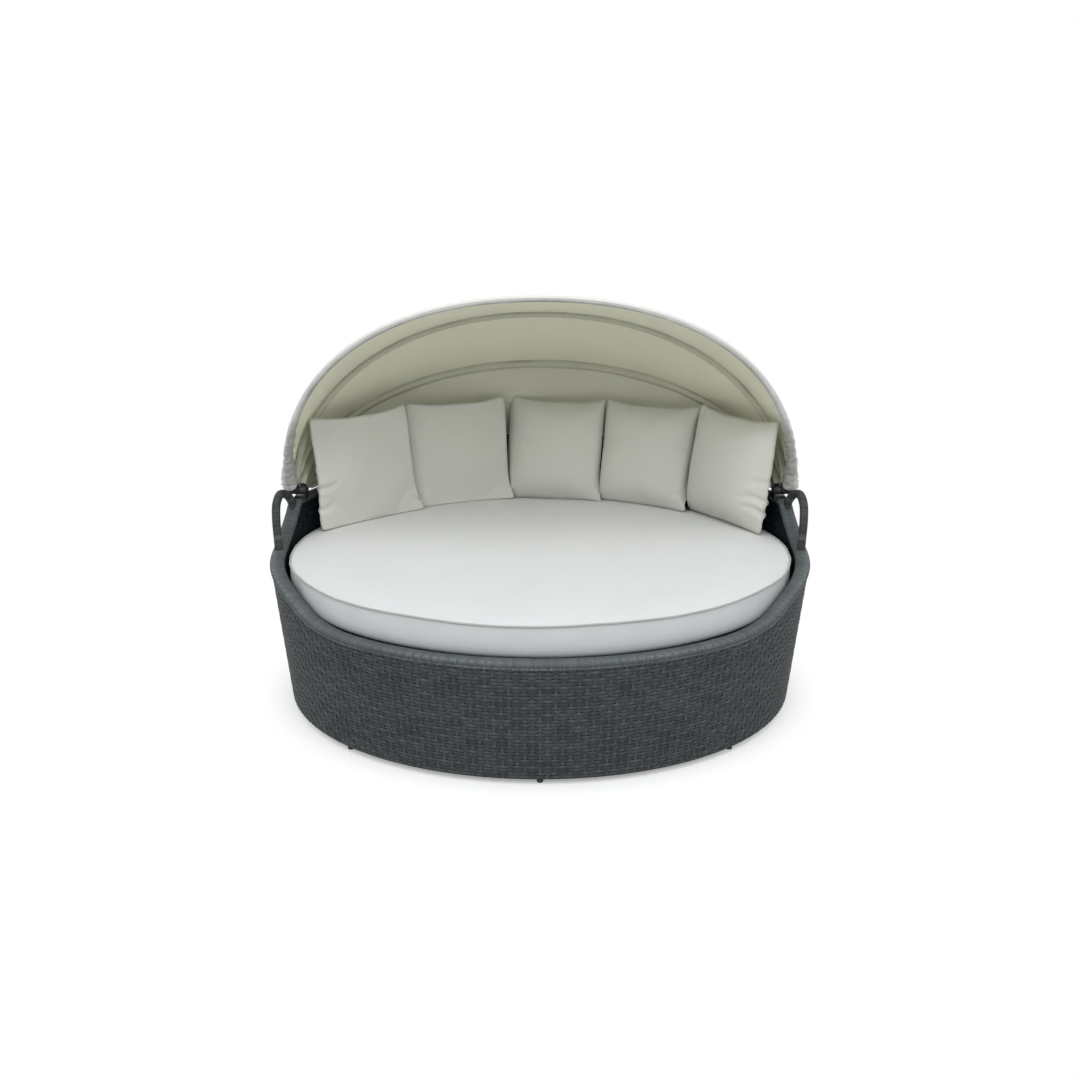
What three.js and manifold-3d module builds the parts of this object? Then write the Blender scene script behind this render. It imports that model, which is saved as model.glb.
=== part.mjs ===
// Outdoor daybed with a folding canopy: an oval woven base, a seat cushion, five loose
// pillows and three hinged bows that carry the canopy cloth. Millimetres, +Z up, front
// towards -Y, standing on the floor with the origin in the middle of its outline.

import * as THREE from 'three';
import { mergeVertices } from 'three/addons/utils/BufferGeometryUtils.js';
import Module from 'manifold-3d';

const wasm = await Module();
wasm.setup();

// Clearances
const gap = 0.3;
const runningClearance = 0.08;
const cutOverrun = 4;
const roundSides = 12;
const screwSides = 8;
const weldTolerance = 0.0001;

// Oval base and its woven wall
const footHeight = 16;
const footRadius = 10;
const footCount = 8;
const baseHalfWidth = 862;
const baseHalfDepth = 673;
const sideFlare = 40;
const skinThickness = 5;
const postDepth = 30;
const postWidth = 30;
const postDegrees = [['back', 60], ['side', -20], ['front', -65.5]];
// Spans of facets on the right half of the oval: from and to in degrees, and how many
const facetSpanDegrees = [[-90, -3, 11], [-3, 21, 9], [21, 90, 9]];
const bottomRingHeight = 30;

// Rim of the wall, from the low front to the high back
const frontRimHeight = 410;
const sideRimRise = 103;
const shoulderRise = 114;
const backRimRise = 95;
const rimRollWidth = 48;
const rimRollHeight = 28;
const rimRollSides = 10;
const rimRoundness = 0.85;
const topRailInset = 5;
const frontRiseShares = [[-1, 0], [-0.765, 0], [-0.615, 0.14], [-0.53, 0.4], [-0.43, 0.63], [-0.21, 0.87]];
const shoulderRiseShares = [[0, 0], [0.28, 0.16], [0.55, 0.41], [0.76, 0.7], [0.89, 0.93], [1, 1]];

// Seat deck inside the wall, with its ring a little below the roll at the front
const deckDrop = 4;
const deckRingHeight = 30;
const deckRingWidth = 25;
const deckThickness = 8;
const beamWidth = 40;
const beamPlaceShares = [-0.66, -0.22, 0.22, 0.66];

// Seat cushion, with its piping a little below the rim at the sides
const cushionDrop = 17;
const cushionCrown = 22;
const cushionSides = 48;
const cushionProfileShares = [
  [0.5, 0, 0], [0.955, 0, 0], [0.985, 0.08, 0], [0.996, 0.5, 0], [0.988, 0.9, 0], [0.992, 1, 0],
  [0.965, 1, 0.3], [0.88, 1, 0.68], [0.68, 1, 0.92], [0.35, 1, 1],
];

// Loose pillows, from left to right: degrees along the wall and inset as a share of their size, turn and lean
const pillowSize = 388;
const pillowThickness = 135;
const pillowDrawShare = 0.045;
const pillowPuffPower = 0.42;
const pillowSink = 10;
const pillowDivisions = 10;
const pillowDegrees = [147.1, 113.2, 85.5, 58.4, 29];
const pillowInsetShares = [0.472, 0.474, 0.469, 0.482, 0.39];
const pillowTurns = [37, 20, -12, -24, -54];
const pillowLeans = [10, 15, 18, 18, 8];

// Arm loops beside the hinges
const armTubeDiameter = 28;
const armRise = 155;
const armSteps = 18;
const armSides = 8;
const armPathShares = [
  [-0.15, -0.1], [-0.075, 0.2], [0.01, 0.56], [0.17, 0.87],
  [0.41, 1], [0.64, 0.91], [0.775, 0.7], [0.8, 0.46],
];

// Hinges: a bracket on the rim, a pivot bolt and the eyes of three bows side by side
const hingeBackShare = 0.29;
const eyeClearance = 3;
const spacerLength = 3.4;
const pivotRadius = 5;
const boltHeadRadius = 9;
const boltHeadHeight = 6;
const nutHeight = 8;
const eyeRadius = 15;
const spacerRadius = 9;
const bracketThickness = 5;
const bracketFront = 18;
const bracketRear = 50;
const bracketWidth = 40;
const earRadius = 17;
const earClearance = 2;
const earSides = 16;
const nutSides = 6;
const screwRadius = 2.5;
const screwHeadRadius = 5;
const screwHeadHeight = 2.5;
const screwTaperShare = 0.8;
const screwLength = 40;
const bracketScrewPlaces = [27, 42];

// Bows, each with its angle from level forwards, its reach and how full its curve is
const bowTubeDiameter = 16;
const bowPitch = bowTubeDiameter + 2 * gap + spacerLength;
const bowInset = 24;
const bowReachShares = [0.8915, 0.93, 1.076];
const [thirdReach, secondReach, frontReach] = bowReachShares.map((share) => share * baseHalfDepth);
const bowStations = 28;
const bowSides = 8;
const thirdBow = { halfWidth: baseHalfWidth - bowInset, reach: thirdReach, fullness: 2, degrees: 143 };
const secondBow = { halfWidth: thirdBow.halfWidth + bowPitch, reach: secondReach, fullness: 2.1, degrees: 112 };
const frontBow = { halfWidth: secondBow.halfWidth + bowPitch, reach: frontReach, fullness: 2.2, degrees: 72 };

// Canopy cloth
const clothThickness = 2.5;
const clothWrapSteps = 3;
// Where each panel starts beside the hinges, in stations of its bow
const frontFirstStation = 0.24;
const middleFirstStation = 0.45;
const rearFirstStation = 0.8;
const skirtFirstStation = 1;
const clothSag = 12;
const sideRipple = 3;
const sideRippleCount = 2;
const hingeBulge = 12;
const foldClearance = 3;
const seamShare = 0.34;
const seamLapShare = 0.03;
const seamEase = 2;

// Hem rail on the back rim
const hemRailStart = 112;
const hemScrewTurns = [62, 118];

// Sizes worked out from those above
const wallThickness = 2 * (skinThickness + gap) + postDepth;
const wallMiddle = wallThickness / 2;
const rimHalfDepth = baseHalfDepth * (1 + sideFlare / baseHalfWidth);
const topRailSize = postDepth - 2 * topRailInset;
const postInset = skinThickness + gap;
const innerSkinInset = postInset + postDepth + gap;
const deckInset = innerSkinInset + skinThickness + gap;
const wallBottom = footHeight + gap;
const sideRimHeight = frontRimHeight + sideRimRise;
const shoulderHeight = sideRimHeight + shoulderRise;
const backRimHeight = shoulderHeight + backRimRise;
const bottomRingTop = wallBottom + bottomRingHeight;
const deckRingTop = frontRimHeight - rimRollHeight - deckDrop;
const deckTop = deckRingTop + gap + deckThickness;
const cushionBottom = deckTop + gap;
const cushionInset = wallMiddle + rimRollWidth / 2 + gap;
const cushionPipingHeight = sideRimHeight - cushionDrop;
const bowRadius = bowTubeDiameter / 2;
const eyeWidth = bowTubeDiameter;
const bowLift = bowRadius + gap;
const layerStep = clothThickness + gap;
const hingeBack = hingeBackShare * baseHalfDepth;
const hingeHeight = shoulderHeight + bracketThickness + eyeRadius + eyeClearance;
const hingeAngle = Math.asin(hingeBack / (rimHalfDepth - wallMiddle));

// Finishes
const finishes = {
  weave: { color: 0x3e4547, roughness: 0.62, metalness: 0 },
  frame: { color: 0x2b2d2e, roughness: 0.5, metalness: 0.3 },
  deck: { color: 0x35383a, roughness: 0.7, metalness: 0 },
  glide: { color: 0x17181a, roughness: 0.6, metalness: 0 },
  hardware: { color: 0x1c1d1f, roughness: 0.4, metalness: 0.6 },
  bow: { color: 0x8e9193, roughness: 0.35, metalness: 0.9 },
  seatCloth: { color: 0xd3d5d3, roughness: 0.9, metalness: 0 },
  pillowCloth: { color: 0xb5b6ad, roughness: 0.92, metalness: 0 },
  canopyCloth: { color: 0xb9b8a6, roughness: 0.9, metalness: 0 },
};

const daybed = new THREE.Group();

function addPiece(name, geometry, finish) {
  const mesh = new THREE.Mesh(geometry, new THREE.MeshStandardMaterial(finishes[finish]));
  mesh.name = name;
  daybed.add(mesh);
  return mesh;
}

function addPair(name, geometry, finish) {
  addPiece(`${name}_right`, geometry, finish);
  addPiece(`${name}_left`, mirrored(geometry), finish);
}

// Closed meshes from rows of points, and the boolean library's solids

function signedVolume(points, faces) {
  let sum = 0;
  for (const [a, b, c] of faces) {
    sum += points[a].dot(new THREE.Vector3().crossVectors(points[b], points[c])) / 6;
  }
  return sum;
}

function closedGeometry(points, faces) {
  const outward = signedVolume(points, faces) > 0 ? faces : faces.map(([a, b, c]) => [a, c, b]);
  const geometry = new THREE.BufferGeometry().setFromPoints(points);
  geometry.setIndex(outward.flat());
  return geometry;
}

// Joins rings of points, each with the same number, into a loop or into a bar with end caps
function loft(rings, closed) {
  const sides = rings[0].length;
  const points = rings.flat();
  const faces = [];
  const lastRing = closed ? rings.length : rings.length - 1;
  for (let ring = 0; ring < lastRing; ring += 1) {
    const here = ring * sides;
    const there = ((ring + 1) % rings.length) * sides;
    for (let side = 0; side < sides; side += 1) {
      const next = (side + 1) % sides;
      faces.push([here + side, there + side, there + next], [here + side, there + next, here + next]);
    }
  }
  if (!closed) {
    for (const [ring, flip] of [[0, false], [rings.length - 1, true]]) {
      const centre = new THREE.Vector3();
      rings[ring].forEach((point) => centre.addScaledVector(point, 1 / sides));
      const middle = points.push(centre) - 1;
      for (let side = 0; side < sides; side += 1) {
        const a = ring * sides + side;
        const b = ring * sides + ((side + 1) % sides);
        faces.push(flip ? [middle, b, a] : [middle, a, b]);
      }
    }
  }
  return closedGeometry(points, faces);
}

function toSolid(geometry) {
  const bare = geometry.clone();
  bare.deleteAttribute('normal');
  bare.deleteAttribute('uv');
  const merged = mergeVertices(bare, weldTolerance);
  return new wasm.Manifold(new wasm.Mesh({
    numProp: 3,
    vertProperties: new Float32Array(merged.attributes.position.array),
    triVerts: new Uint32Array(merged.index.array),
  }));
}

function toGeometry(solid) {
  const mesh = solid.getMesh();
  const geometry = new THREE.BufferGeometry();
  geometry.setAttribute('position', new THREE.BufferAttribute(new Float32Array(mesh.vertProperties), 3));
  geometry.setIndex(new THREE.BufferAttribute(new Uint32Array(mesh.triVerts), 1));
  return geometry;
}

function cut(geometry, ...cutters) {
  return toGeometry(cutters.reduce((left, cutter) => left.subtract(toSolid(cutter)), toSolid(geometry)));
}

function mirrored(geometry) {
  const copy = geometry.clone().scale(-1, 1, 1);
  const index = Array.from(copy.index.array);
  for (let i = 0; i < index.length; i += 3) {
    [index[i + 1], index[i + 2]] = [index[i + 2], index[i + 1]];
  }
  copy.setIndex(index);
  return copy;
}

function regularShape(radius, sides) {
  const turns = Array.from({ length: sides }, (_, i) => (2 * Math.PI * (i + 0.5)) / sides);
  return new THREE.Shape(turns.map((turn) => (
    new THREE.Vector2(radius * Math.cos(turn), radius * Math.sin(turn))
  )));
}

function tubeAlong(curve, radius, sides, steps) {
  const options = { extrudePath: curve, steps, bevelEnabled: false };
  return new THREE.ExtrudeGeometry(regularShape(radius, sides), options);
}

// A drill or a round bar along X or Z, between two places on that axis
function barAlongX(radius, from, to, y, z, sides = roundSides) {
  const bar = new THREE.CylinderGeometry(radius, radius, to - from, sides);
  return bar.rotateZ(Math.PI / 2).translate((from + to) / 2, y, z);
}

function barAlongZ(radius, from, to, x, y, sides = roundSides) {
  const bar = new THREE.CylinderGeometry(radius, radius, to - from, sides);
  return bar.rotateX(Math.PI / 2).translate(x, y, (from + to) / 2);
}

// Oval wall: its plan, its facets and the height of its rim

function flareAt(z) {
  return 1 + ((sideFlare / baseHalfWidth) * (z - footHeight)) / (sideRimHeight - footHeight);
}

function ovalPoint(angle, inset, z) {
  const flare = flareAt(z);
  const x = (baseHalfWidth * flare - inset) * Math.cos(angle);
  const y = (baseHalfDepth * flare - inset) * Math.sin(angle);
  return new THREE.Vector3(x, y, z);
}

// Angles of the wall's facets, closer together over the step beside each hinge
function facetAngles() {
  const half = facetSpanDegrees.flatMap(([from, to, count]) => (
    Array.from({ length: count }, (_, i) => THREE.MathUtils.degToRad(from + ((to - from) * i) / count))
  ));
  const mirroredHalf = half.slice(1).map((angle) => Math.PI - angle).reverse();
  return [...half, Math.PI / 2, ...mirroredHalf];
}

const facets = facetAngles();

// Points across the facet nearest to an angle, so that a piece within one facet seats flat
function facetAt(angle) {
  const after = Math.max(1, facets.findIndex((facet) => facet >= angle));
  return (share, inset, z) => (
    ovalPoint(facets[after - 1], inset, z).lerp(ovalPoint(facets[after], inset, z), share)
  );
}

function ovalRing(section) {
  return loft(facets.map(section), true);
}

// A ring with a rectangular section between two insets and two heights
function flatRing(outerInset, innerInset, bottom, top) {
  return ovalRing((angle) => [
    ovalPoint(angle, outerInset, bottom),
    ovalPoint(angle, outerInset, top),
    ovalPoint(angle, innerInset, top),
    ovalPoint(angle, innerInset, bottom),
  ]);
}

function ovalPlate(inset, bottom, top) {
  return loft([bottom, top].map((z) => facets.map((angle) => ovalPoint(angle, inset, z))), false);
}

// Rises through the given knots without overshooting between them
function risingCurve(knots) {
  const slopes = knots.slice(1).map(([x, y], i) => (y - knots[i][1]) / (x - knots[i][0]));
  const tangents = knots.map((_, i) => {
    if (i === 0 || i === knots.length - 1) {
      return slopes[Math.min(i, slopes.length - 1)];
    }
    const [before, after] = [slopes[i - 1], slopes[i]];
    return before * after <= 0 ? 0 : (2 * before * after) / (before + after);
  });
  return (x) => {
    let i = knots.findIndex(([knot]) => knot >= x) - 1;
    if (i < 0) {
      i = x <= knots[0][0] ? 0 : knots.length - 2;
    }
    const [x0, y0] = knots[i];
    const [x1, y1] = knots[i + 1];
    const width = x1 - x0;
    const s = (x - x0) / width;
    const rise = (3 - 2 * s) * s * s;
    const lead = s * (1 - s) * (1 - s);
    const trail = s * s * (s - 1);
    return y0 + (y1 - y0) * rise + width * (lead * tangents[i] + trail * tangents[i + 1]);
  };
}

const rimProfile = risingCurve([
  ...frontRiseShares.map(([depth, rise]) => [
    depth * rimHalfDepth,
    frontRimHeight + rise * (sideRimHeight - frontRimHeight),
  ]),
  ...shoulderRiseShares.map(([depth, rise]) => [
    depth * hingeBack,
    sideRimHeight + rise * (shoulderHeight - sideRimHeight),
  ]),
  [hingeBack + bracketRear + rimRollHeight, shoulderHeight],
  [rimHalfDepth, backRimHeight],
]);

function rimCentre(angle) {
  return ovalPoint(angle, wallMiddle, rimProfile(rimHalfDepth * Math.sin(angle)) - rimRollHeight / 2);
}

// Directions at a point of the rim: outwards and square to the rim's run
function rimFrame(angle) {
  const step = 0.01;
  const run = rimCentre(angle + step).sub(rimCentre(angle - step)).normalize();
  const out = new THREE.Vector3(run.y, -run.x, 0).normalize();
  const up = new THREE.Vector3().crossVectors(out, run);
  return { centre: rimCentre(angle), out, up };
}

function rimOffset(angle, outwards, upwards) {
  const { centre, out, up } = rimFrame(angle);
  return centre.addScaledVector(out, outwards).addScaledVector(up, upwards);
}

function rimRollShape(grow) {
  return ovalRing((angle) => Array.from({ length: rimRollSides }, (_, side) => {
    const turn = (2 * Math.PI * side) / rimRollSides;
    const across = Math.sign(Math.cos(turn)) * Math.abs(Math.cos(turn)) ** rimRoundness;
    const high = Math.sign(Math.sin(turn)) * Math.abs(Math.sin(turn)) ** rimRoundness;
    return rimOffset(angle, across * (rimRollWidth / 2 + grow), high * (rimRollHeight / 2 + grow));
  }));
}

function topRailShape(grow) {
  const half = topRailSize / 2 + grow;
  const drop = rimRollHeight / 2 + gap + topRailSize / 2;
  const corners = [[1, 1], [-1, 1], [-1, -1], [1, -1]];
  return ovalRing((angle) => corners.map(([out, up]) => rimOffset(angle, out * half, up * half - drop)));
}

// Woven skins, rim roll and the frame inside the wall

const rimCutter = rimRollShape(gap);
const railCutter = topRailShape(gap);

// A ring of the wall from a level bottom up to the middle of the rim roll
function wallRing(outerInset, innerInset, bottom) {
  return ovalRing((angle) => {
    const top = rimCentre(angle).z;
    return [
      ovalPoint(angle, outerInset, bottom),
      ovalPoint(angle, outerInset, top),
      ovalPoint(angle, innerInset, top),
      ovalPoint(angle, innerInset, bottom),
    ];
  });
}

const wallCutter = wallRing(0, wallThickness + gap, deckRingTop);

function skin(inset, bottom) {
  return cut(wallRing(inset, inset + skinThickness, bottom), rimCutter);
}

// A slanted post that stands on the bottom ring and is notched round the top rail
function post(angle) {
  const pointAt = facetAt(angle);
  const facetWidth = pointAt(0, postInset, bottomRingTop).distanceTo(pointAt(1, postInset, bottomRingTop));
  const sides = [-1, 1].map((side) => (1 + (side * postWidth) / facetWidth) / 2);
  const top = pointAt(sides[0], wallMiddle, 0).lerp(pointAt(sides[1], wallMiddle, 0), 0.5);
  const railAngle = Math.atan2(top.y / (baseHalfDepth - wallMiddle), top.x / (baseHalfWidth - wallMiddle));
  const railHeight = rimOffset(railAngle, 0, -(rimRollHeight / 2 + gap + topRailSize / 2)).z;
  const section = (z) => [
    pointAt(sides[0], postInset, z),
    pointAt(sides[1], postInset, z),
    pointAt(sides[1], postInset + postDepth, z),
    pointAt(sides[0], postInset + postDepth, z),
  ];
  return cut(loft([section(bottomRingTop + gap), section(railHeight)], false), railCutter);
}

function deckBeam(share) {
  const inset = innerSkinInset + deckRingWidth + gap;
  const room = toSolid(ovalPlate(inset, deckRingTop - 2 * deckRingHeight, deckRingTop + deckRingHeight));
  const bar = new THREE.BoxGeometry(beamWidth, 2 * baseHalfDepth, deckRingHeight);
  bar.translate(share * baseHalfWidth, 0, deckRingTop - deckRingHeight / 2);
  return toGeometry(toSolid(bar).intersect(room));
}

function addBase() {
  addPiece('outer_skin', skin(0, wallBottom), 'weave');
  addPiece('inner_skin', skin(innerSkinInset, deckRingTop + gap), 'weave');
  addPiece('bottom_ring', flatRing(postInset, postInset + postDepth, wallBottom, bottomRingTop), 'frame');
  addPiece(
    'deck_ring',
    flatRing(innerSkinInset, innerSkinInset + deckRingWidth, deckRingTop - deckRingHeight, deckRingTop),
    'frame',
  );
  addPair('hinge_post', post(hingeAngle), 'frame');
  for (const [place, degrees] of postDegrees) {
    addPair(`${place}_post`, post(THREE.MathUtils.degToRad(degrees)), 'frame');
  }
  beamPlaceShares.forEach((share, i) => addPiece(`deck_beam_${i + 1}`, deckBeam(share), 'frame'));
  addPiece('seat_deck', ovalPlate(deckInset, deckRingTop + gap, deckTop), 'deck');
  for (let i = 0; i < footCount; i += 1) {
    const place = ovalPoint((2 * Math.PI * i) / footCount - Math.PI / 2, wallMiddle, 0);
    const foot = addPiece(`foot_${i + 1}`, barAlongZ(footRadius, 0, footHeight, 0, 0), 'glide');
    foot.position.set(place.x, place.y, 0);
  }
}

// Arm loops: a wrapped tube that leaves the rim and comes back to it in front of the hinge

function armPoint([backShare, riseShare]) {
  const y = backShare * hingeBack;
  const z = sideRimHeight + riseShare * armRise;
  const flare = flareAt(z);
  const angle = Math.asin(y / (baseHalfDepth * flare - wallMiddle));
  return ovalPoint(angle, wallMiddle, z);
}

function armLoop() {
  const path = new THREE.CatmullRomCurve3(armPathShares.map(armPoint), false, 'centripetal');
  const loop = toSolid(tubeAlong(path, armTubeDiameter / 2, armSides, armSteps));
  return largestBody(loop.subtract(toSolid(rimCutter)));
}

// Hinge hardware on the right; the left is its mirror image

const thirdEyeX = thirdBow.halfWidth;
const earOuterX = thirdEyeX - eyeWidth / 2 - earClearance;
const earInnerX = earOuterX - bracketThickness;
const nutInnerX = frontBow.halfWidth + eyeWidth / 2 + gap;
const rimTopAtHinge = rimOffset(hingeAngle, 0, rimRollHeight / 2).z;
const plateTop = rimTopAtHinge + bracketThickness;

function screwX(y) {
  const angle = Math.asin(y / (rimHalfDepth - wallMiddle));
  return rimCentre(angle).x;
}

function hingeBracket() {
  const length = bracketFront + bracketRear;
  const depth = rimRollHeight / 2;
  const plate = new THREE.BoxGeometry(bracketWidth, length, depth);
  plate.translate(earInnerX + bracketWidth / 2, hingeBack - bracketFront + length / 2, plateTop - depth / 2);
  const earRise = hingeHeight - plateTop;
  const web = new THREE.BoxGeometry(bracketThickness, 2 * earRadius, earRise + depth);
  web.translate(earInnerX + bracketThickness / 2, hingeBack, plateTop + (earRise - depth) / 2);
  const ear = toSolid(barAlongX(earRadius, earInnerX, earOuterX, hingeBack, hingeHeight, earSides));
  const body = toSolid(plate).add(toSolid(web)).add(ear);
  const drills = bracketScrewPlaces.map((place) => {
    const y = hingeBack + place;
    return screwDrill(screwX(y), y, plateTop);
  });
  return [rimCutter, pivotHole(pivotRadius + gap, earInnerX, earOuterX), ...drills]
    .reduce((left, cutter) => left.subtract(toSolid(cutter)), body);
}

function largestBody(solid) {
  const bodies = solid.decompose().sort((a, b) => b.volume() - a.volume());
  return toGeometry(bodies[0]);
}

function screwDrill(x, y, seat) {
  return barAlongZ(screwRadius + gap, seat - screwLength - cutOverrun, seat + cutOverrun, x, y, screwSides);
}

// A pan head screw whose head rests on the seat
function screw(seat) {
  const profile = [
    [0, seat - screwLength], [screwRadius, seat - screwLength], [screwRadius, seat + gap],
    [screwHeadRadius, seat + gap], [screwHeadRadius * screwTaperShare, seat + gap + screwHeadHeight],
    [0, seat + gap + screwHeadHeight],
  ].map(([x, y]) => new THREE.Vector2(x, y));
  return new THREE.LatheGeometry(profile, screwSides).rotateX(Math.PI / 2);
}

function pivotBolt() {
  const headFrom = earInnerX - gap - boltHeadHeight;
  const headTo = earInnerX - gap;
  const tip = nutInnerX + nutHeight + gap;
  const head = toSolid(barAlongX(boltHeadRadius, headFrom, headTo, hingeBack, hingeHeight, nutSides));
  const shank = toSolid(barAlongX(pivotRadius, headFrom + gap, tip, hingeBack, hingeHeight));
  return toGeometry(head.add(shank));
}

function pivotNut() {
  const nut = barAlongX(boltHeadRadius, nutInnerX, nutInnerX + nutHeight, hingeBack, hingeHeight, nutSides);
  return cut(nut, pivotHole(pivotRadius + gap, nutInnerX, nutInnerX + nutHeight));
}

function pivotHole(radius, from, to) {
  return barAlongX(radius, from - cutOverrun, to + cutOverrun, hingeBack, hingeHeight);
}

function pivotSpacer(eyeX) {
  const from = eyeX + eyeWidth / 2 + gap;
  const to = eyeX + bowPitch - eyeWidth / 2 - gap;
  const spacer = barAlongX(spacerRadius, from, to, hingeBack, hingeHeight);
  return cut(spacer, pivotHole(pivotRadius + gap, from, to));
}

function addHinges() {
  addPair('hinge_bracket', largestBody(hingeBracket()), 'hardware');
  addPair('pivot_bolt', pivotBolt(), 'hardware');
  addPair('pivot_nut', pivotNut(), 'hardware');
  addPair('inner_spacer', pivotSpacer(thirdEyeX), 'glide');
  addPair('outer_spacer', pivotSpacer(secondBow.halfWidth), 'glide');
  bracketScrewPlaces.forEach((place, i) => {
    const y = hingeBack + place;
    const name = `bracket_screw_${i + 1}`;
    for (const [side, sign] of [['right', 1], ['left', -1]]) {
      addPiece(`${name}_${side}`, screw(plateTop), 'hardware').position.set(sign * screwX(y), y, 0);
    }
  });
}

// Bows: a bent tube with a bored eye at each end, in the plane that turns on the pivots

function bowPlanePoint(bow, turn) {
  const across = Math.cos(turn);
  const power = 2 / bow.fullness;
  const x = Math.sign(across) * bow.halfWidth * Math.abs(across) ** power;
  const away = bow.reach * Math.max(0, Math.sin(turn)) ** power;
  return [x, away];
}

class BowCurve extends THREE.Curve {
  constructor(bow) {
    super();
    this.bow = bow;
  }

  getPoint(share, target = new THREE.Vector3()) {
    const [x, away] = bowPlanePoint(this.bow, Math.PI * (1 - share));
    return target.set(x, 0, away);
  }

  // Even steps of turn rather than of length, so that the cloth's lines match the tube's
  getUtoTmapping(share) {
    return share;
  }
}

function bowGeometry(bow) {
  let solid = toSolid(tubeAlong(new BowCurve(bow), bowRadius, bowSides, bowStations));
  for (const side of [-1, 1]) {
    const middle = side * bow.halfWidth;
    const eye = barAlongX(eyeRadius, middle - eyeWidth / 2, middle + eyeWidth / 2, 0, 0);
    const belowPivot = new THREE.BoxGeometry(2 * bowTubeDiameter, 2 * bowTubeDiameter, eyeRadius);
    belowPivot.translate(middle, 0, -eyeRadius / 2);
    solid = solid.subtract(toSolid(belowPivot)).add(toSolid(eye));
  }
  for (const side of [-1, 1]) {
    const middle = side * bow.halfWidth;
    const bore = barAlongX(
      (pivotRadius + runningClearance) / Math.cos(Math.PI / roundSides),
      middle - eyeWidth / 2 - cutOverrun,
      middle + eyeWidth / 2 + cutOverrun,
      0,
      0,
    );
    solid = solid.subtract(toSolid(bore));
  }
  return toGeometry(solid);
}

function addBow(name, bow) {
  const mesh = addPiece(name, bowGeometry(bow), 'bow');
  mesh.position.set(0, hingeBack, hingeHeight);
  mesh.rotation.x = THREE.MathUtils.degToRad(90 - bow.degrees);
}

// Hem rail: a tube that holds the canopy's rear edge on the back rim

const hemLift = rimRollHeight / 2 + gap + bowRadius;

function hemAngle(share) {
  const start = Math.asin((hingeBack + hemRailStart) / (rimHalfDepth - wallMiddle));
  return start + share * (Math.PI - 2 * start);
}

class HemCurve extends THREE.Curve {
  getPoint(share, target = new THREE.Vector3()) {
    return target.copy(rimOffset(hemAngle(share), 0, hemLift));
  }

  getUtoTmapping(share) {
    return share;
  }
}

function hemScrewPlace(degrees) {
  return rimOffset(THREE.MathUtils.degToRad(degrees), 0, hemLift);
}

function hemDrills() {
  return hemScrewTurns.map((degrees) => {
    const place = hemScrewPlace(degrees);
    return screwDrill(place.x, place.y, place.z + bowRadius);
  });
}

function addHemRail() {
  const rail = tubeAlong(new HemCurve(), bowRadius, bowSides, bowStations);
  addPiece('hem_rail', cut(rail, ...hemDrills()), 'bow');
  hemScrewTurns.forEach((degrees, i) => {
    const place = hemScrewPlace(degrees);
    addPiece(`hem_screw_${i + 1}`, screw(place.z + bowRadius), 'hardware').position.set(place.x, place.y, 0);
  });
}

function addRim() {
  const drills = bracketScrewPlaces.flatMap((place) => {
    const y = hingeBack + place;
    return [1, -1].map((sign) => screwDrill(sign * screwX(y), y, plateTop));
  });
  drills.push(...hemDrills());
  addPiece('rim_roll', cut(rimRollShape(0), ...drills), 'weave');
  addPiece('top_rail', cut(topRailShape(0), ...drills), 'frame');
  addPair('arm_loop', armLoop(), 'weave');
}

// Canopy cloth: each panel is stretched over two tubes, one layer lapping over the next

// Where the cloth passes over a bow: the tube's centre, its run and its outward side
function overBow(bow, firstAt) {
  const step = Math.PI / bowStations;
  const angle = THREE.MathUtils.degToRad(bow.degrees);
  const centreAt = (turn) => {
    const [x, away] = bowPlanePoint(bow, turn);
    return new THREE.Vector3(x, hingeBack - away * Math.cos(angle), hingeHeight + away * Math.sin(angle));
  };
  const planeNormal = new THREE.Vector3(0, -Math.sin(angle), -Math.cos(angle));
  return (station) => {
    const turn = Math.min(Math.max(station, firstAt), bowStations - firstAt) * step;
    const nudge = Math.min(turn, Math.PI - turn, step) / 2;
    const run = centreAt(turn + nudge).sub(centreAt(turn - nudge)).normalize();
    return { centre: centreAt(turn), run, out: new THREE.Vector3().crossVectors(run, planeNormal) };
  };
}

function overHem(station) {
  const angle = hemAngle(station / bowStations);
  const { out, up } = rimFrame(angle);
  return { centre: rimOffset(angle, 0, hemLift), run: new THREE.Vector3().crossVectors(up, out), out };
}

// Moves a point of the cloth out until it clears the outline of a bow that folds past it
function keptOutside(point, bow, lift) {
  const y = point.y - hingeBack;
  const z = point.z - hingeHeight;
  const away = Math.hypot(y, z);
  const fill = (Math.abs(point.x) / (bow.halfWidth + lift)) ** bow.fullness
    + (away / (bow.reach + lift)) ** bow.fullness;
  const grow = Math.max(1, fill ** (-1 / bow.fullness));
  return new THREE.Vector3(point.x * grow, hingeBack + y * grow, hingeHeight + z * grow);
}

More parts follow.
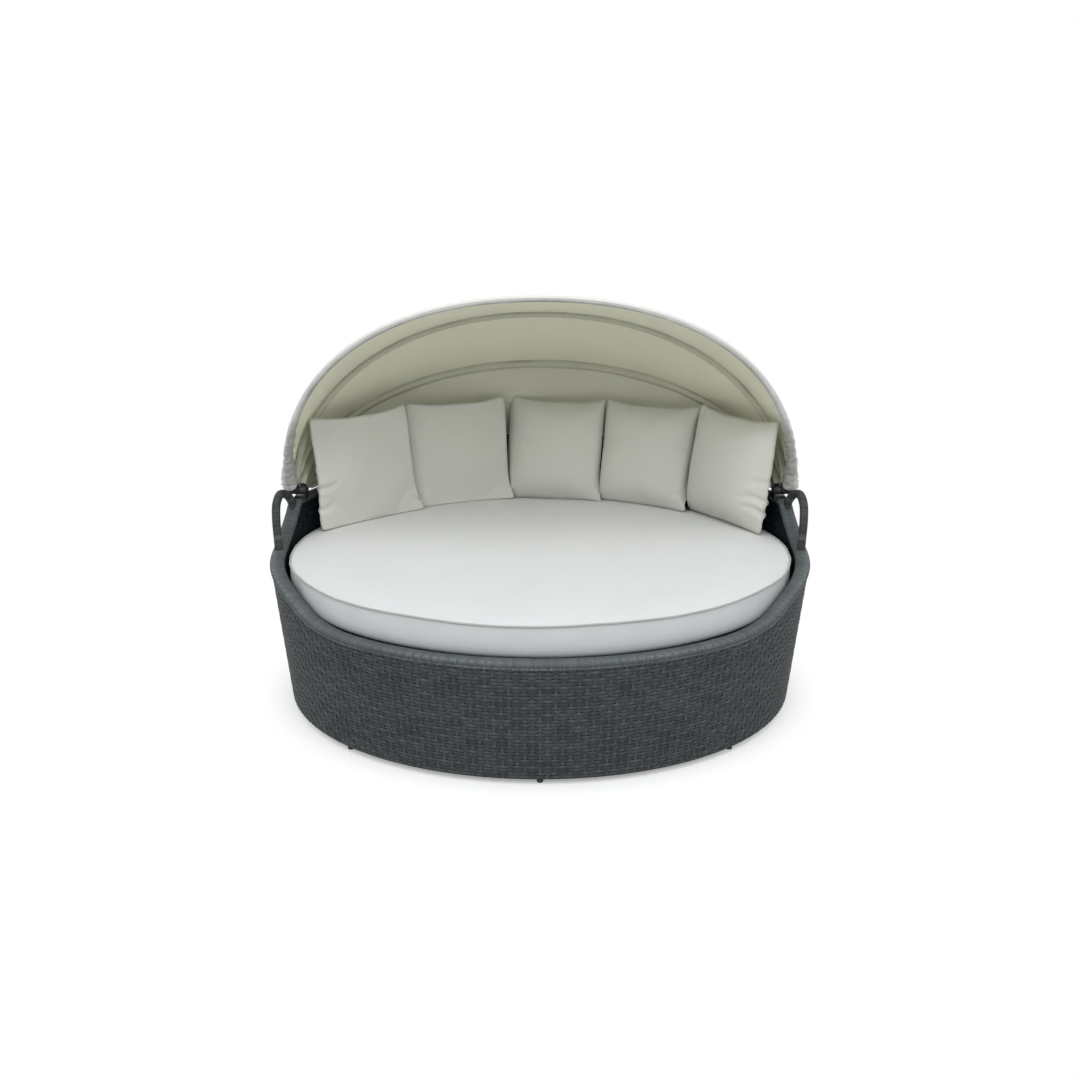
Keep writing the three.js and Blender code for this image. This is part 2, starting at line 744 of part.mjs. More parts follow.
// One layer of a panel at one station: round the front tube, across the span, round the rear tube
function clothRow(station, lift, panel) {
  const { front, rear, frontLift = bowLift, rearLift = bowLift, from = 0, to = 1, spans } = panel;
  const { sag = 0, ripples = 0, bulge = 0, clear } = panel;
  const [a, b] = [front(station), rear(station)];
  const span = new THREE.Vector3().subVectors(b.centre, a.centre);
  const squareTo = (end) => {
    const normal = new THREE.Vector3().crossVectors(span, end.run).normalize();
    return normal.dot(end.out) < 0 ? normal.negate() : normal;
  };
  const round = (end, turnedTo, share, away) => (
    end.centre.clone().addScaledVector(end.out.clone().lerp(turnedTo, share).normalize(), away)
  );
  const crown = Math.sin((Math.PI * station) / bowStations);
  const side = Math.sign(bowStations / 2 - station);
  const leave = squareTo(a);
  const arrive = squareTo(b);
  const row = [];
  if (from === 0) {
    for (let k = 0; k < clothWrapSteps; k += 1) {
      row.push(round(a, leave, k / clothWrapSteps, frontLift + lift));
    }
  }
  for (let k = 0; k <= spans; k += 1) {
    const along = k / spans;
    const point = round(a, leave, 1, frontLift + lift);
    point.lerp(round(b, arrive, 1, rearLift + lift), from + (to - from) * along);
    const swell = Math.sin(Math.PI * along);
    const inward = new THREE.Vector3(0, hingeBack - point.y, hingeHeight - point.z).normalize();
    point.addScaledVector(inward, sag * swell * crown ** 2);
    point.x += side * sideRipple * swell * (1 - crown) * (1 - Math.cos(2 * Math.PI * ripples * along)) / 2;
    row.push(clear ? keptOutside(point, clear, bowLift + layerStep + foldClearance + lift) : point);
  }
  if (to === 1) {
    for (let k = clothWrapSteps - 1; k >= 0; k -= 1) {
      row.push(round(b, arrive, k / clothWrapSteps, rearLift + lift));
    }
  }
  row.forEach((point, k) => {
    point.x += side * bulge * (1 - crown) ** 4 * (1 - k / (row.length - 1));
  });
  return row;
}

function clothPanel(panel) {
  const { firstStation = 0 } = panel;
  const rings = Array.from({ length: bowStations + 1 - 2 * firstStation }, (_, i) => [
    ...clothRow(firstStation + i, 0, panel),
    ...clothRow(firstStation + i, clothThickness, panel).reverse(),
  ]);
  return loftStrip(rings);
}

// A loft whose ends are closed by strips between the two layers of each ring
function loftStrip(rings) {
  const sides = rings[0].length;
  const points = rings.flat();
  const faces = [];
  for (let ring = 0; ring < rings.length - 1; ring += 1) {
    for (let side = 0; side < sides; side += 1) {
      const next = (side + 1) % sides;
      const [a, b] = [ring * sides + side, ring * sides + next];
      const [c, d] = [a + sides, b + sides];
      faces.push(...(ring < (rings.length - 1) / 2 ? [[a, c, d], [a, d, b]] : [[a, c, b], [b, c, d]]));
    }
  }
  for (const [ring, flip] of [[0, false], [rings.length - 1, true]]) {
    for (let side = 0; side < sides / 2 - 1; side += 1) {
      const [a, b] = [ring * sides + side, ring * sides + side + 1];
      const [c, d] = [ring * sides + sides - 1 - side, ring * sides + sides - 2 - side];
      faces.push(...(flip ? [[a, c, d], [a, d, b]] : [[a, d, c], [a, b, d]]));
    }
  }
  return closedGeometry(points, faces);
}

function addCanopyCloth() {
  addPiece('front_cloth', clothPanel({
    front: overBow(frontBow, frontFirstStation),
    rear: overBow(secondBow, frontFirstStation),
    rearLift: bowLift + layerStep,
    spans: 4,
    sag: clothSag,
    ripples: sideRippleCount,
    bulge: hingeBulge,
    clear: secondBow,
  }), 'canopyCloth');
  addPiece('middle_cloth', clothPanel({
    front: overBow(secondBow, middleFirstStation),
    rear: overBow(thirdBow, rearFirstStation),
    rearLift: bowLift + layerStep,
    spans: 4,
    sag: clothSag,
    ripples: sideRippleCount,
    clear: thirdBow,
  }), 'canopyCloth');
  addPiece('rear_cloth', clothPanel({
    front: overBow(thirdBow, rearFirstStation),
    rear: overHem,
    rearLift: bowLift + layerStep,
    to: seamShare + seamLapShare,
    spans: 2,
  }), 'canopyCloth');
  addPiece('back_skirt', clothPanel({
    front: overBow(thirdBow, rearFirstStation),
    rear: overHem,
    frontLift: bowLift - layerStep - seamEase,
    from: seamShare - seamLapShare,
    firstStation: skirtFirstStation,
    spans: 2,
  }), 'canopyCloth');
}

// Seat cushion: a boxed oval pad with a low crown and slightly drawn-in sides

function cushionShape(raise) {
  const height = cushionPipingHeight - cushionBottom;
  const angles = Array.from({ length: cushionSides }, (_, i) => (2 * Math.PI * i) / cushionSides);
  return loft(cushionProfileShares.map(([size, rise, crown]) => {
    const z = cushionBottom + rise * height + crown * cushionCrown;
    const edge = cushionBottom + rise * height;
    return angles.map((angle) => {
      const point = ovalPoint(angle, cushionInset, edge);
      return new THREE.Vector3(point.x * size, point.y * size, z + raise);
    });
  }), false);
}

// Pillow: two crowned faces that meet in a drawn-in knife edge

function pillowShape() {
  const n = pillowDivisions;
  const points = [];
  const index = new Map();
  const place = (i, k, face) => {
    const rim = i === 0 || k === 0 || i === n || k === n;
    const key = rim ? `${i}.${k}` : `${i}.${k}.${face}`;
    if (!index.has(key)) {
      const u = Math.sin((Math.PI / 2) * ((2 * i) / n - 1));
      const v = Math.sin((Math.PI / 2) * ((2 * k) / n - 1));
      const x = (pillowSize / 2) * u * (1 - pillowDrawShare * (1 - v * v) * Math.abs(u));
      const z = (pillowSize / 2) * v * (1 - pillowDrawShare * (1 - u * u) * Math.abs(v));
      const puff = ((1 - u * u) * (1 - v * v)) ** pillowPuffPower;
      index.set(key, points.push(new THREE.Vector3(x, (face * puff * pillowThickness) / 2, z)) - 1);
    }
    return index.get(key);
  };
  const faces = [];
  for (const face of [-1, 1]) {
    for (let i = 0; i < n; i += 1) {
      for (let k = 0; k < n; k += 1) {
        const corners = [[i, k], [i + 1, k], [i + 1, k + 1], [i, k + 1]];
        const quad = corners.map(([column, row]) => place(column, row, face));
        const [a, b, c, d] = face < 0 ? quad : quad.reverse();
        faces.push(...((i < n / 2) === (k < n / 2) ? [[a, b, c], [a, c, d]] : [[a, b, d], [b, c, d]]));
      }
    }
  }
  return closedGeometry(points, faces);
}

function pillowPlaced(i, shift = 0) {
  const seat = cushionPipingHeight + cushionCrown - pillowSink;
  const angle = THREE.MathUtils.degToRad(pillowDegrees[i]);
  const place = ovalPoint(angle, pillowInsetShares[i] * pillowSize, seat);
  const matrix = new THREE.Matrix4().setPosition(place);
  matrix.multiply(new THREE.Matrix4().makeRotationZ(THREE.MathUtils.degToRad(pillowTurns[i])));
  matrix.multiply(new THREE.Matrix4().makeRotationX(-THREE.MathUtils.degToRad(pillowLeans[i])));
  matrix.multiply(new THREE.Matrix4().makeTranslation(0, shift, pillowSize / 2));
  return pillowShape().applyMatrix4(matrix);
}

function addCushions() {
  addPiece('seat_cushion', cushionShape(0), 'seatCloth');
  pillowTurns.forEach((_, i) => {
    const cutters = [cushionShape(gap), rimCutter, wallCutter];
    if (i > 0) {
      cutters.push(pillowPlaced(i - 1), pillowPlaced(i - 1, gap));
    }
    const solid = cutters.reduce((left, cutter) => left.subtract(toSolid(cutter)), toSolid(pillowPlaced(i)));
    addPiece(`pillow_${i + 1}`, largestBody(solid), 'pillowCloth');
  });
}

addBase();
addRim();
addHinges();
addHemRail();
addBow('third_bow', thirdBow);
addBow('second_bow', secondBow);
addBow('front_bow', frontBow);
addCanopyCloth();
addCushions();

const outline = new THREE.Box3().setFromObject(daybed);
daybed.position.y = -(outline.min.y + outline.max.y) / 2;

export default daybed;
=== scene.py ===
"""Looks of the outdoor daybed: woven wall, wrapped rim and arm loops, simulated seat cushion and
pillows, and a canopy of stretched cloth over three hinged bows. Metres, +Z up, front towards -Y."""

import math

import bmesh
import bpy
import numpy as np
from mathutils import Matrix, Vector
from mathutils.bvhtree import BVHTree


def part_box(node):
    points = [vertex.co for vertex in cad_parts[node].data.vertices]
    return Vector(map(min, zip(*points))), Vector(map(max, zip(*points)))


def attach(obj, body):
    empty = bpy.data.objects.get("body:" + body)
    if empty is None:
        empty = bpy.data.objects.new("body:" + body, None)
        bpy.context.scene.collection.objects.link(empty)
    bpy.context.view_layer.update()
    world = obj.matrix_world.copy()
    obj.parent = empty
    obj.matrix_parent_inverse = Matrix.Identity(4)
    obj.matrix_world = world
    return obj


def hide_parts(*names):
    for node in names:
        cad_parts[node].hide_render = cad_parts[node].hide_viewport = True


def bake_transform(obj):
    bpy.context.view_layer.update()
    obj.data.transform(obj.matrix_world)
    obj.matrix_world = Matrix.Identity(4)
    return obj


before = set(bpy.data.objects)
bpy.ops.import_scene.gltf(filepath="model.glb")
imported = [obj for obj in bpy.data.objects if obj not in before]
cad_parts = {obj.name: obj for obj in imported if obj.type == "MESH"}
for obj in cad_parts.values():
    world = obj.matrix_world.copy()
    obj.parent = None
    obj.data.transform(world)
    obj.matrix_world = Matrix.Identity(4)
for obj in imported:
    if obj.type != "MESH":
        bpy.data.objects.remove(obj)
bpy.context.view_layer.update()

# Sizes of the solids that the soft and woven pieces follow
HALF_WIDTH, HALF_DEPTH, FLARE = 0.862, 0.673, 0.040
FOOT_HEIGHT, WALL_THICKNESS = 0.016, 0.0406
FRONT_RIM, SIDE_RIM, SHOULDER_RIM, BACK_RIM = 0.410, 0.513, 0.627, 0.722
ROLL_WIDTH, ROLL_HEIGHT = 0.048, 0.028
HINGE_BACK, HINGE_HEIGHT = 0.29 * HALF_DEPTH, 0.650
BOW_RADIUS = 0.008
BOWS = {
    "third": (0.838, 0.8915 * HALF_DEPTH, 2.0, 143.0),
    "second": (0.858, 0.93 * HALF_DEPTH, 2.1, 112.0),
    "front": (0.878, 1.076 * HALF_DEPTH, 2.2, 72.0),
}
CUSHION_BOTTOM, PIPING_HEIGHT, CUSHION_CROWN = 0.3866, 0.496, 0.022
PILLOW_SIZE, PILLOW_THICKNESS, PILLOW_SINK = 0.388, 0.135, 0.010
# Degrees along the wall, inset as a share of the size, turn and lean
PILLOWS = [
    (147.1, 0.472, 37, 10), (113.2, 0.474, 20, 15), (85.5, 0.469, -12, 18), (58.4, 0.482, -24, 18),
    (29, 0.39, -54, 8),
]
ARM_TUBE, ARM_CREST = 0.028, 0.668
ARM_PATH = [
    (-0.15, -0.1), (-0.075, 0.2), (0.01, 0.56), (0.17, 0.87),
    (0.41, 1), (0.64, 0.91), (0.775, 0.7), (0.8, 0.46),
]

low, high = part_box("seat_deck")
SHIFT = (low.y + high.y) / 2
RIM_DEPTH = HALF_DEPTH * (1 + FLARE / HALF_WIDTH)
MIDDLE = WALL_THICKNESS / 2
# Turns a place on the oval, seen from its middle, into the level way out of the wall there
LEVEL_OUT = (1, 1.6, 0)
rng = np.random.default_rng(7)


# Meshes

def new_object(name, points, faces, material=None, smooth=True):
    mesh = bpy.data.meshes.new(name)
    mesh.from_pydata(np.asarray(points, float).tolist(), [], [list(f) for f in faces])
    mesh.update()
    if smooth:
        mesh.polygons.foreach_set("use_smooth", [True] * len(mesh.polygons))
    obj = bpy.data.objects.new(name, mesh)
    bpy.context.scene.collection.objects.link(obj)
    if material:
        mesh.materials.append(material)
    return obj


def grid_faces(rows, columns, close_rows=False, close_columns=False, start=0):
    r = np.arange(rows if close_rows else rows - 1)
    c = np.arange(columns if close_columns else columns - 1)
    r, c = np.meshgrid(r, c, indexing="ij")
    r2, c2 = (r + 1) % rows, (c + 1) % columns
    quads = np.stack([r * columns + c, r * columns + c2, r2 * columns + c2, r2 * columns + c], -1)
    return (quads.reshape(-1, 4) + start).tolist()


def read_vectors(items, name):
    flat = np.empty(len(items) * 3)
    items.foreach_get(name, flat)
    return flat.reshape(-1, 3)


def coords(obj):
    return read_vectors(obj.data.vertices, "co")


def set_coords(obj, points):
    obj.data.vertices.foreach_set("co", np.asarray(points, float).ravel())
    obj.data.update()


def paint(obj, name, values):
    attribute = obj.data.attributes.new(name, "FLOAT", "POINT")
    attribute.data.foreach_set("value", np.asarray(values, np.float32).ravel())


def apply_modifiers(obj):
    evaluated = obj.evaluated_get(bpy.context.evaluated_depsgraph_get())
    mesh = bpy.data.meshes.new_from_object(evaluated)
    old, obj.data = obj.data, mesh
    obj.modifiers.clear()
    bpy.data.meshes.remove(old)
    mesh.polygons.foreach_set("use_smooth", [True] * len(mesh.polygons))
    return obj


def subdivide(obj):
    modifier = obj.modifiers.new("smooth", "SUBSURF")
    modifier.levels = modifier.render_levels = 1
    return apply_modifiers(obj)


def unit(vectors):
    return vectors / np.maximum(np.linalg.norm(vectors, axis=-1, keepdims=True), 1e-12)


def arc(points):
    """Length along a path, at each of its points."""
    steps = np.linalg.norm(np.diff(points, axis=0), axis=1)
    return np.concatenate([[0], np.cumsum(steps)])


def bell(value, width):
    return np.exp(-(value / width) ** 2)


def signed_power(value, power):
    return np.sign(value) * np.abs(value) ** power


def facing_out(obj):
    """Turns the faces of a closed mesh the right way out."""
    mesh = bmesh.new()
    mesh.from_mesh(obj.data)
    bmesh.ops.recalc_face_normals(mesh, faces=mesh.faces)
    mesh.to_mesh(obj.data)
    mesh.free()
    return obj


def face_away(obj, vertex, way):
    """Turns an open mesh so that it faces a given way at one of its points."""
    if read_vectors(obj.data.vertex_normals, "vector")[vertex] @ way < 0:
        obj.data.flip_normals()


def closed_tube(name, path, radius, sides, material):
    """A round tube along a path that ends where it starts."""
    run = unit(np.roll(path, -1, 0) - np.roll(path, 1, 0))
    side = np.cross(run, [0, 0, 1])
    upright = np.linalg.norm(side, axis=1) < 0.15
    side[upright] = np.cross(run[upright], [0, 1, 0])
    side = unit(side)
    for i in range(1, len(side)):
        if side[i] @ side[i - 1] < 0:
            side[i] = -side[i]
    up = np.cross(side, run)
    turns = 2 * math.pi * np.arange(sides) / sides
    ring = side[:, None] * np.cos(turns)[None, :, None] + up[:, None] * np.sin(turns)[None, :, None]
    points = (path[:, None] + ring * radius).reshape(-1, 3)
    return facing_out(new_object(name, points, grid_faces(len(path), sides, True, True), material))


# Materials

class Nodes:
    """Small helpers for the nodes of a tree."""

    def __init__(self, tree):
        self.tree = tree

    def link(self, source, target):
        self.tree.links.new(source, target)

    def feed(self, made, inputs):
        """Gives inputs of a node, by name or number, a value or a socket each."""
        for key, item in inputs.items():
            if isinstance(item, (int, float, tuple)):
                made.inputs[key].default_value = item
            else:
                self.link(item, made.inputs[key])
        return made

    def node(self, kind, inputs=None, **settings):
        made = self.tree.nodes.new(kind)
        for key, value in settings.items():
            setattr(made, key, value)
        return self.feed(made, inputs or {})

    def wired(self, kind, *items, **settings):
        """The first output of a node whose first inputs are fed in order."""
        return self.node(kind, dict(enumerate(items)), **settings).outputs[0]

    def value(self, operation, *items):
        return self.wired("ShaderNodeMath", *items, operation=operation)

    def weighted(self, *parts):
        """A sum of sockets, each with its weight."""
        total = self.value("MULTIPLY", *parts[0])
        for source, weight in parts[1:]:
            total = self.value("MULTIPLY_ADD", source, weight, total)
        return total

    def plain_view(self):
        """1 for rays that see the background as it is: from the camera, a mirror or glass."""
        rays = self.node("ShaderNodeLightPath").outputs
        mirrored = self.value("MAXIMUM", rays["Is Glossy Ray"], rays["Is Transmission Ray"])
        return self.value("MAXIMUM", rays["Is Camera Ray"], mirrored)


class Paint(Nodes):
    """A Principled material that is painted by attributes and noise."""

    def __init__(self, name, color, roughness, metallic=0.0, sheen=0.0, specular=0.5):
        self.material = bpy.data.materials.new(name)
        self.material.use_nodes = True
        super().__init__(self.material.node_tree)
        self.shader = self.feed(self.tree.nodes["Principled BSDF"], {
            "Base Color": (*color, 1), "Roughness": roughness, "Metallic": metallic,
            "Specular IOR Level": specular, "Sheen Weight": sheen, "Sheen Roughness": 0.5})
        self.place = self.node("ShaderNodeTexCoord").outputs["Object"]

    def noise(self, scale, detail=2.0, rough=0.5):
        """Noise at one scale, or at a scale for each axis."""
        scales = scale if isinstance(scale, tuple) else (scale,) * 3
        mapping = self.node("ShaderNodeMapping", {"Vector": self.place, "Scale": scales})
        return self.node("ShaderNodeTexNoise", {
            "Vector": mapping.outputs[0], "Scale": 1.0, "Detail": detail, "Roughness": rough,
        }).outputs["Fac"]

    def attribute(self, name):
        return self.node("ShaderNodeAttribute", attribute_name=name).outputs["Fac"]

    def ramp(self, source, low, high, from_value=0.0, to_value=1.0):
        return self.wired("ShaderNodeMapRange", source, from_value, to_value, low, high)

    def color(self, source, stops):
        made = self.node("ShaderNodeValToRGB", {"Fac": source})
        elements = made.color_ramp.elements
        while len(elements) < len(stops):
            elements.new(0.5)
        for element, (place, rgb) in zip(elements, stops):
            element.position = place
            element.color = (*rgb, 1)
        self.link(made.outputs["Color"], self.shader.inputs["Base Color"])

    def rough(self, source, low, high):
        self.link(self.ramp(source, low, high), self.shader.inputs["Roughness"])

    def bump(self, source, depth, strength=1.0):
        """Lays one more bump over those that are there."""
        made = self.node("ShaderNodeBump", {
            "Strength": strength, "Distance": depth, "Height": source})
        normal = self.shader.inputs["Normal"]
        if normal.is_linked:
            self.link(normal.links[0].from_socket, made.inputs["Normal"])
        self.link(made.outputs["Normal"], normal)


STITCH_INSET, STITCH_HALF, STITCH_LENGTH = 0.011, 0.0007, 0.0055
WAVES_PER_SCALE = 20


def tinted(color, factor):
    return tuple(min(1.0, c * factor) for c in color)


def cloth_paint(name, color, thread=0.0011, soil=0.06, stitches=False, shaded=False):
    """Woven fabric: crossed threads, slubs and soft colour drift, with stitches along its seams and
    painted shade where its attribute "edge" says so."""
    cloth = Paint(name, color, 0.85, sheen=0.15, specular=0.25)
    drift = cloth.noise(5.0, 3.0, 0.6)
    slubs = cloth.value("ADD", cloth.noise((22, 22, 900)), cloth.noise((900, 22, 22)))
    mottle = cloth.noise(420.0, 2.0, 0.7)
    parts = [(drift, 0.55), (slubs, 0.22), (mottle, 0.16)]
    stops = [(0.25, tinted(color, 1 - 1.6 * soil)), (0.45, color), (0.75, tinted(color, 1 + soil))]
    if stitches:
        off = cloth.value("SUBTRACT", cloth.attribute("seam"), STITCH_INSET)
        line = cloth.value("LESS_THAN", cloth.value("ABSOLUTE", off), STITCH_HALF)
        turn = cloth.value("FRACT", cloth.value("DIVIDE", cloth.attribute("run"), STITCH_LENGTH))
        stitch = cloth.value("MULTIPLY", line, cloth.value("LESS_THAN", turn, 0.66))
        parts.append((stitch, -0.30))
    if shaded:
        # Painted shade, where the attribute "edge" gives it
        parts.append((cloth.attribute("edge"), -0.6))
        stops = [(0, tinted(color, 0.45))] + stops
    cloth.color(cloth.weighted(*parts), stops)
    cloth.rough(mottle, 0.78, 0.95)
    waves = {"Vector": cloth.place, "Scale": 1 / thread / WAVES_PER_SCALE, "Distortion": 0.6,
             "Detail Scale": 3.0}
    x, y, z = [cloth.node("ShaderNodeTexWave", waves, bands_direction=axis).outputs["Fac"]
               for axis in "XYZ"]
    weave = cloth.value("MULTIPLY", cloth.value("MAXIMUM", x, y), z)
    cloth.bump(weave, 0.00012, 0.5)
    cloth.bump(slubs, 0.0003, 0.5)
    if stitches:
        cloth.bump(stitch, -0.0006, 0.8)
    return cloth.material


def strand_paint(name, dark, light):
    """Flat moulded strands with a satin skin: a tone for each strand, which also carries painted
    highlights and painted shade where they are given, grooves along it, dust.
    """
    strand = Paint(name, dark, 0.5, specular=0.22)
    dust = strand.noise(9.0, 4.0, 0.65)
    streak = strand.noise((60, 60, 1500), 3.0, 0.6)
    middle = tuple(0.6 * a + 0.4 * b for a, b in zip(dark, light))
    strand.color(strand.weighted((strand.attribute("tone"), 0.70), (streak, 0.20), (dust, 0.14)),
                 [(0.2, tinted(dark, 0.7)), (0.42, dark), (0.68, middle), (0.95, light)])
    strand.rough(strand.weighted((dust, 0.5), (streak, 0.5)), 0.42, 0.66)
    strand.bump(streak, 0.0005, 0.6)
    strand.bump(strand.noise(700.0), 0.00015, 0.4)
    return strand.material


def coated_paint(name, color, rough, metallic, wear=1.0):
    """Powder coat or moulded plastic: fine orange peel, scuffs and paler worn edges."""
    coat = Paint(name, color, rough[0], metallic=metallic)
    scuff = coat.noise(60.0, 5.0, 0.7)
    edge = coat.node("ShaderNodeNewGeometry").outputs["Pointiness"]
    worn = coat.ramp(edge, 0.0, 0.35 * wear, 0.52, 0.62)
    coat.color(coat.value("MULTIPLY_ADD", scuff, 0.5, worn),
               [(0.15, tinted(color, 0.7)), (0.35, color), (0.8, tinted(color, 2.2))])
    coat.rough(scuff, *rough)
    coat.bump(coat.noise(1400.0, 1.0), 0.00008, 0.5)
    return coat.material


weave_mat = strand_paint("weave", (0.030, 0.0365, 0.038), (0.150, 0.165, 0.168))
# A darker, bluer copy of the weave for the wall's inner face: painted shade
inner_weave_shaded_mat = strand_paint("inner_weave", (0.0060, 0.0094, 0.0128), (0.023, 0.029, 0.034))
rim_mat = strand_paint("rim_strand", (0.055, 0.064, 0.0675), (0.225, 0.247, 0.253))
arm_mat = strand_paint("arm_strand", (0.026, 0.031, 0.029), (0.13, 0.14, 0.135))
backing_mat = strand_paint("weave_backing", (0.010, 0.012, 0.013), (0.02, 0.023, 0.025))
seat_mat = cloth_paint("seat_cloth", (0.625, 0.632, 0.635), soil=0.03)
piping_mat = cloth_paint("seat_piping", (0.36, 0.37, 0.36), thread=0.0009)
pillow_mat = cloth_paint("pillow_cloth", (0.57, 0.575, 0.52), soil=0.04)
pillow_piping_mat = cloth_paint("pillow_piping", (0.54, 0.545, 0.49), thread=0.0009)
# One canopy fabric in three copies: the outside; the inside brighter and yellower, with painted
# light for the light through the cloth; the inside of the rear panel darker, with painted shade
canopy_out_mat = cloth_paint(
    "canopy_outside", (0.64, 0.635, 0.605), soil=0.05, stitches=True, shaded=True)
canopy_in_lit_mat = cloth_paint("canopy_inside", (0.735, 0.725, 0.565), soil=0.07, stitches=True)
canopy_rear_shaded_mat = cloth_paint("canopy_inside_rear_shaded", (0.59, 0.585, 0.47), soil=0.07, stitches=True)
# The sleeves: a darker copy of the canopy's inside, painted shade
sleeve_shaded_mat = cloth_paint("bow_sleeve", (0.50, 0.495, 0.39), soil=0.05, shaded=True)
hardware_mat = coated_paint("black_hardware", (0.014, 0.014, 0.016), (0.28, 0.5), 0.5)
frame_mat = coated_paint("frame_coat", (0.028, 0.030, 0.032), (0.35, 0.6), 0.3)
glide_mat = coated_paint("moulded_glide", (0.012, 0.012, 0.014), (0.45, 0.65), 0.0, 0.4)
deck_mat = coated_paint("deck_board", (0.04, 0.043, 0.046), (0.5, 0.75), 0.0, 0.5)
bow_mat = coated_paint("bow_tube", (0.020, 0.021, 0.023), (0.30, 0.5), 0.4)


# Oval wall and the rise of its rim

def flare_at(z):
    return 1 + (FLARE / HALF_WIDTH) * (np.asarray(z) - FOOT_HEIGHT) / (SIDE_RIM - FOOT_HEIGHT)


def wall_reach(p, inset):
    """How far points lie from the middle, where 1 is at an inset from the wall's outer face."""
    width, depth = [half * flare_at(p[:, 2]) - inset for half in (HALF_WIDTH, HALF_DEPTH)]
    return np.hypot(p[:, 0] / width, (p[:, 1] - SHIFT) / depth)


def scale_level(p, scale):
    """Scales points level, about the middle of the oval."""
    p[:, 0] *= scale
    p[:, 1] = SHIFT + (p[:, 1] - SHIFT) * scale


def oval(angle, inset, z):
    angle, inset, z = np.broadcast_arrays(np.asarray(angle, float), inset, np.asarray(z, float))
    f = flare_at(z)
    x = (HALF_WIDTH * f - inset) * np.cos(angle)
    y = (HALF_DEPTH * f - inset) * np.sin(angle) + SHIFT
    return np.stack([x, y, z], -1)


def rising_curve(knots):
    xs, ys = np.array(knots, float).T
    slopes = np.diff(ys) / np.diff(xs)
    a, b = slopes[:-1], slopes[1:]
    inner = np.where(a * b <= 0, 0, 2 * a * b / np.where(a + b == 0, 1, a + b))
    tangents = np.concatenate([[slopes[0]], inner, [slopes[-1]]])

    def at(x):
        x = np.asarray(x, float)
        i = np.clip(np.searchsorted(xs, x) - 1, 0, len(slopes) - 1)
        width = xs[i + 1] - xs[i]
        s = (x - xs[i]) / width
        rise = (3 - 2 * s) * s * s
        slant = s * (1 - s) ** 2 * tangents[i] + s * s * (s - 1) * tangents[i + 1]
        return ys[i] + (ys[i + 1] - ys[i]) * rise + width * slant
    return at


FRONT_RISE = [(-1, 0), (-0.765, 0), (-0.615, 0.14), (-0.53, 0.4), (-0.43, 0.63), (-0.21, 0.87)]
SHOULDER_RISE = [(0, 0), (0.28, 0.16), (0.55, 0.41), (0.76, 0.7), (0.89, 0.93), (1, 1)]
rim_profile = rising_curve(
    [(d * RIM_DEPTH, FRONT_RIM + r * (SIDE_RIM - FRONT_RIM)) for d, r in FRONT_RISE]
    + [(d * HINGE_BACK, SIDE_RIM + r * (SHOULDER_RIM - SIDE_RIM)) for d, r in SHOULDER_RISE]
    + [(HINGE_BACK + 0.050 + ROLL_HEIGHT, SHOULDER_RIM), (RIM_DEPTH, BACK_RIM)]
)


def rim_centre(angle):
    return oval(angle, MIDDLE, rim_profile(RIM_DEPTH * np.sin(angle)) - ROLL_HEIGHT / 2)


def rim_frame(angle):
    run = unit(rim_centre(angle + 0.01) - rim_centre(angle - 0.01))
    out = unit(np.stack([run[..., 1], -run[..., 0], np.zeros_like(run[..., 0])], -1))
    return rim_centre(angle), out, np.cross(out, run)


def even_angles(count, z, inset):
    """Angles that are evenly spaced along the oval's edge, and the length of that edge."""
    fine = np.linspace(0, 2 * math.pi, 4001)
    length = arc(oval(fine, inset, z))
    wanted = np.arange(count) / count * length[-1]
    return np.interp(wanted, length, fine), length[-1]


# Level strands of the weave: pitch, how far they bulge, and the heights and lifts across one
STRAND_PITCH, STRAND_BULGE = 0.0112, 0.0016
STRAND_PROFILE = [(-0.0051, -0.0011), (-0.0026, -0.0002), (0.0026, 0.0002), (0.0051, -0.0009)]
RIM_CLEARANCE = 0.0035
# One dash of a strand passes over two stakes, and is spaced at this height of the flared wall
DASH, DASH_POINTS, SPACING_LEVEL = 0.045, 8, 0.3
STAKE_HALF, STAKE_LIFT = 0.0042, 0.8


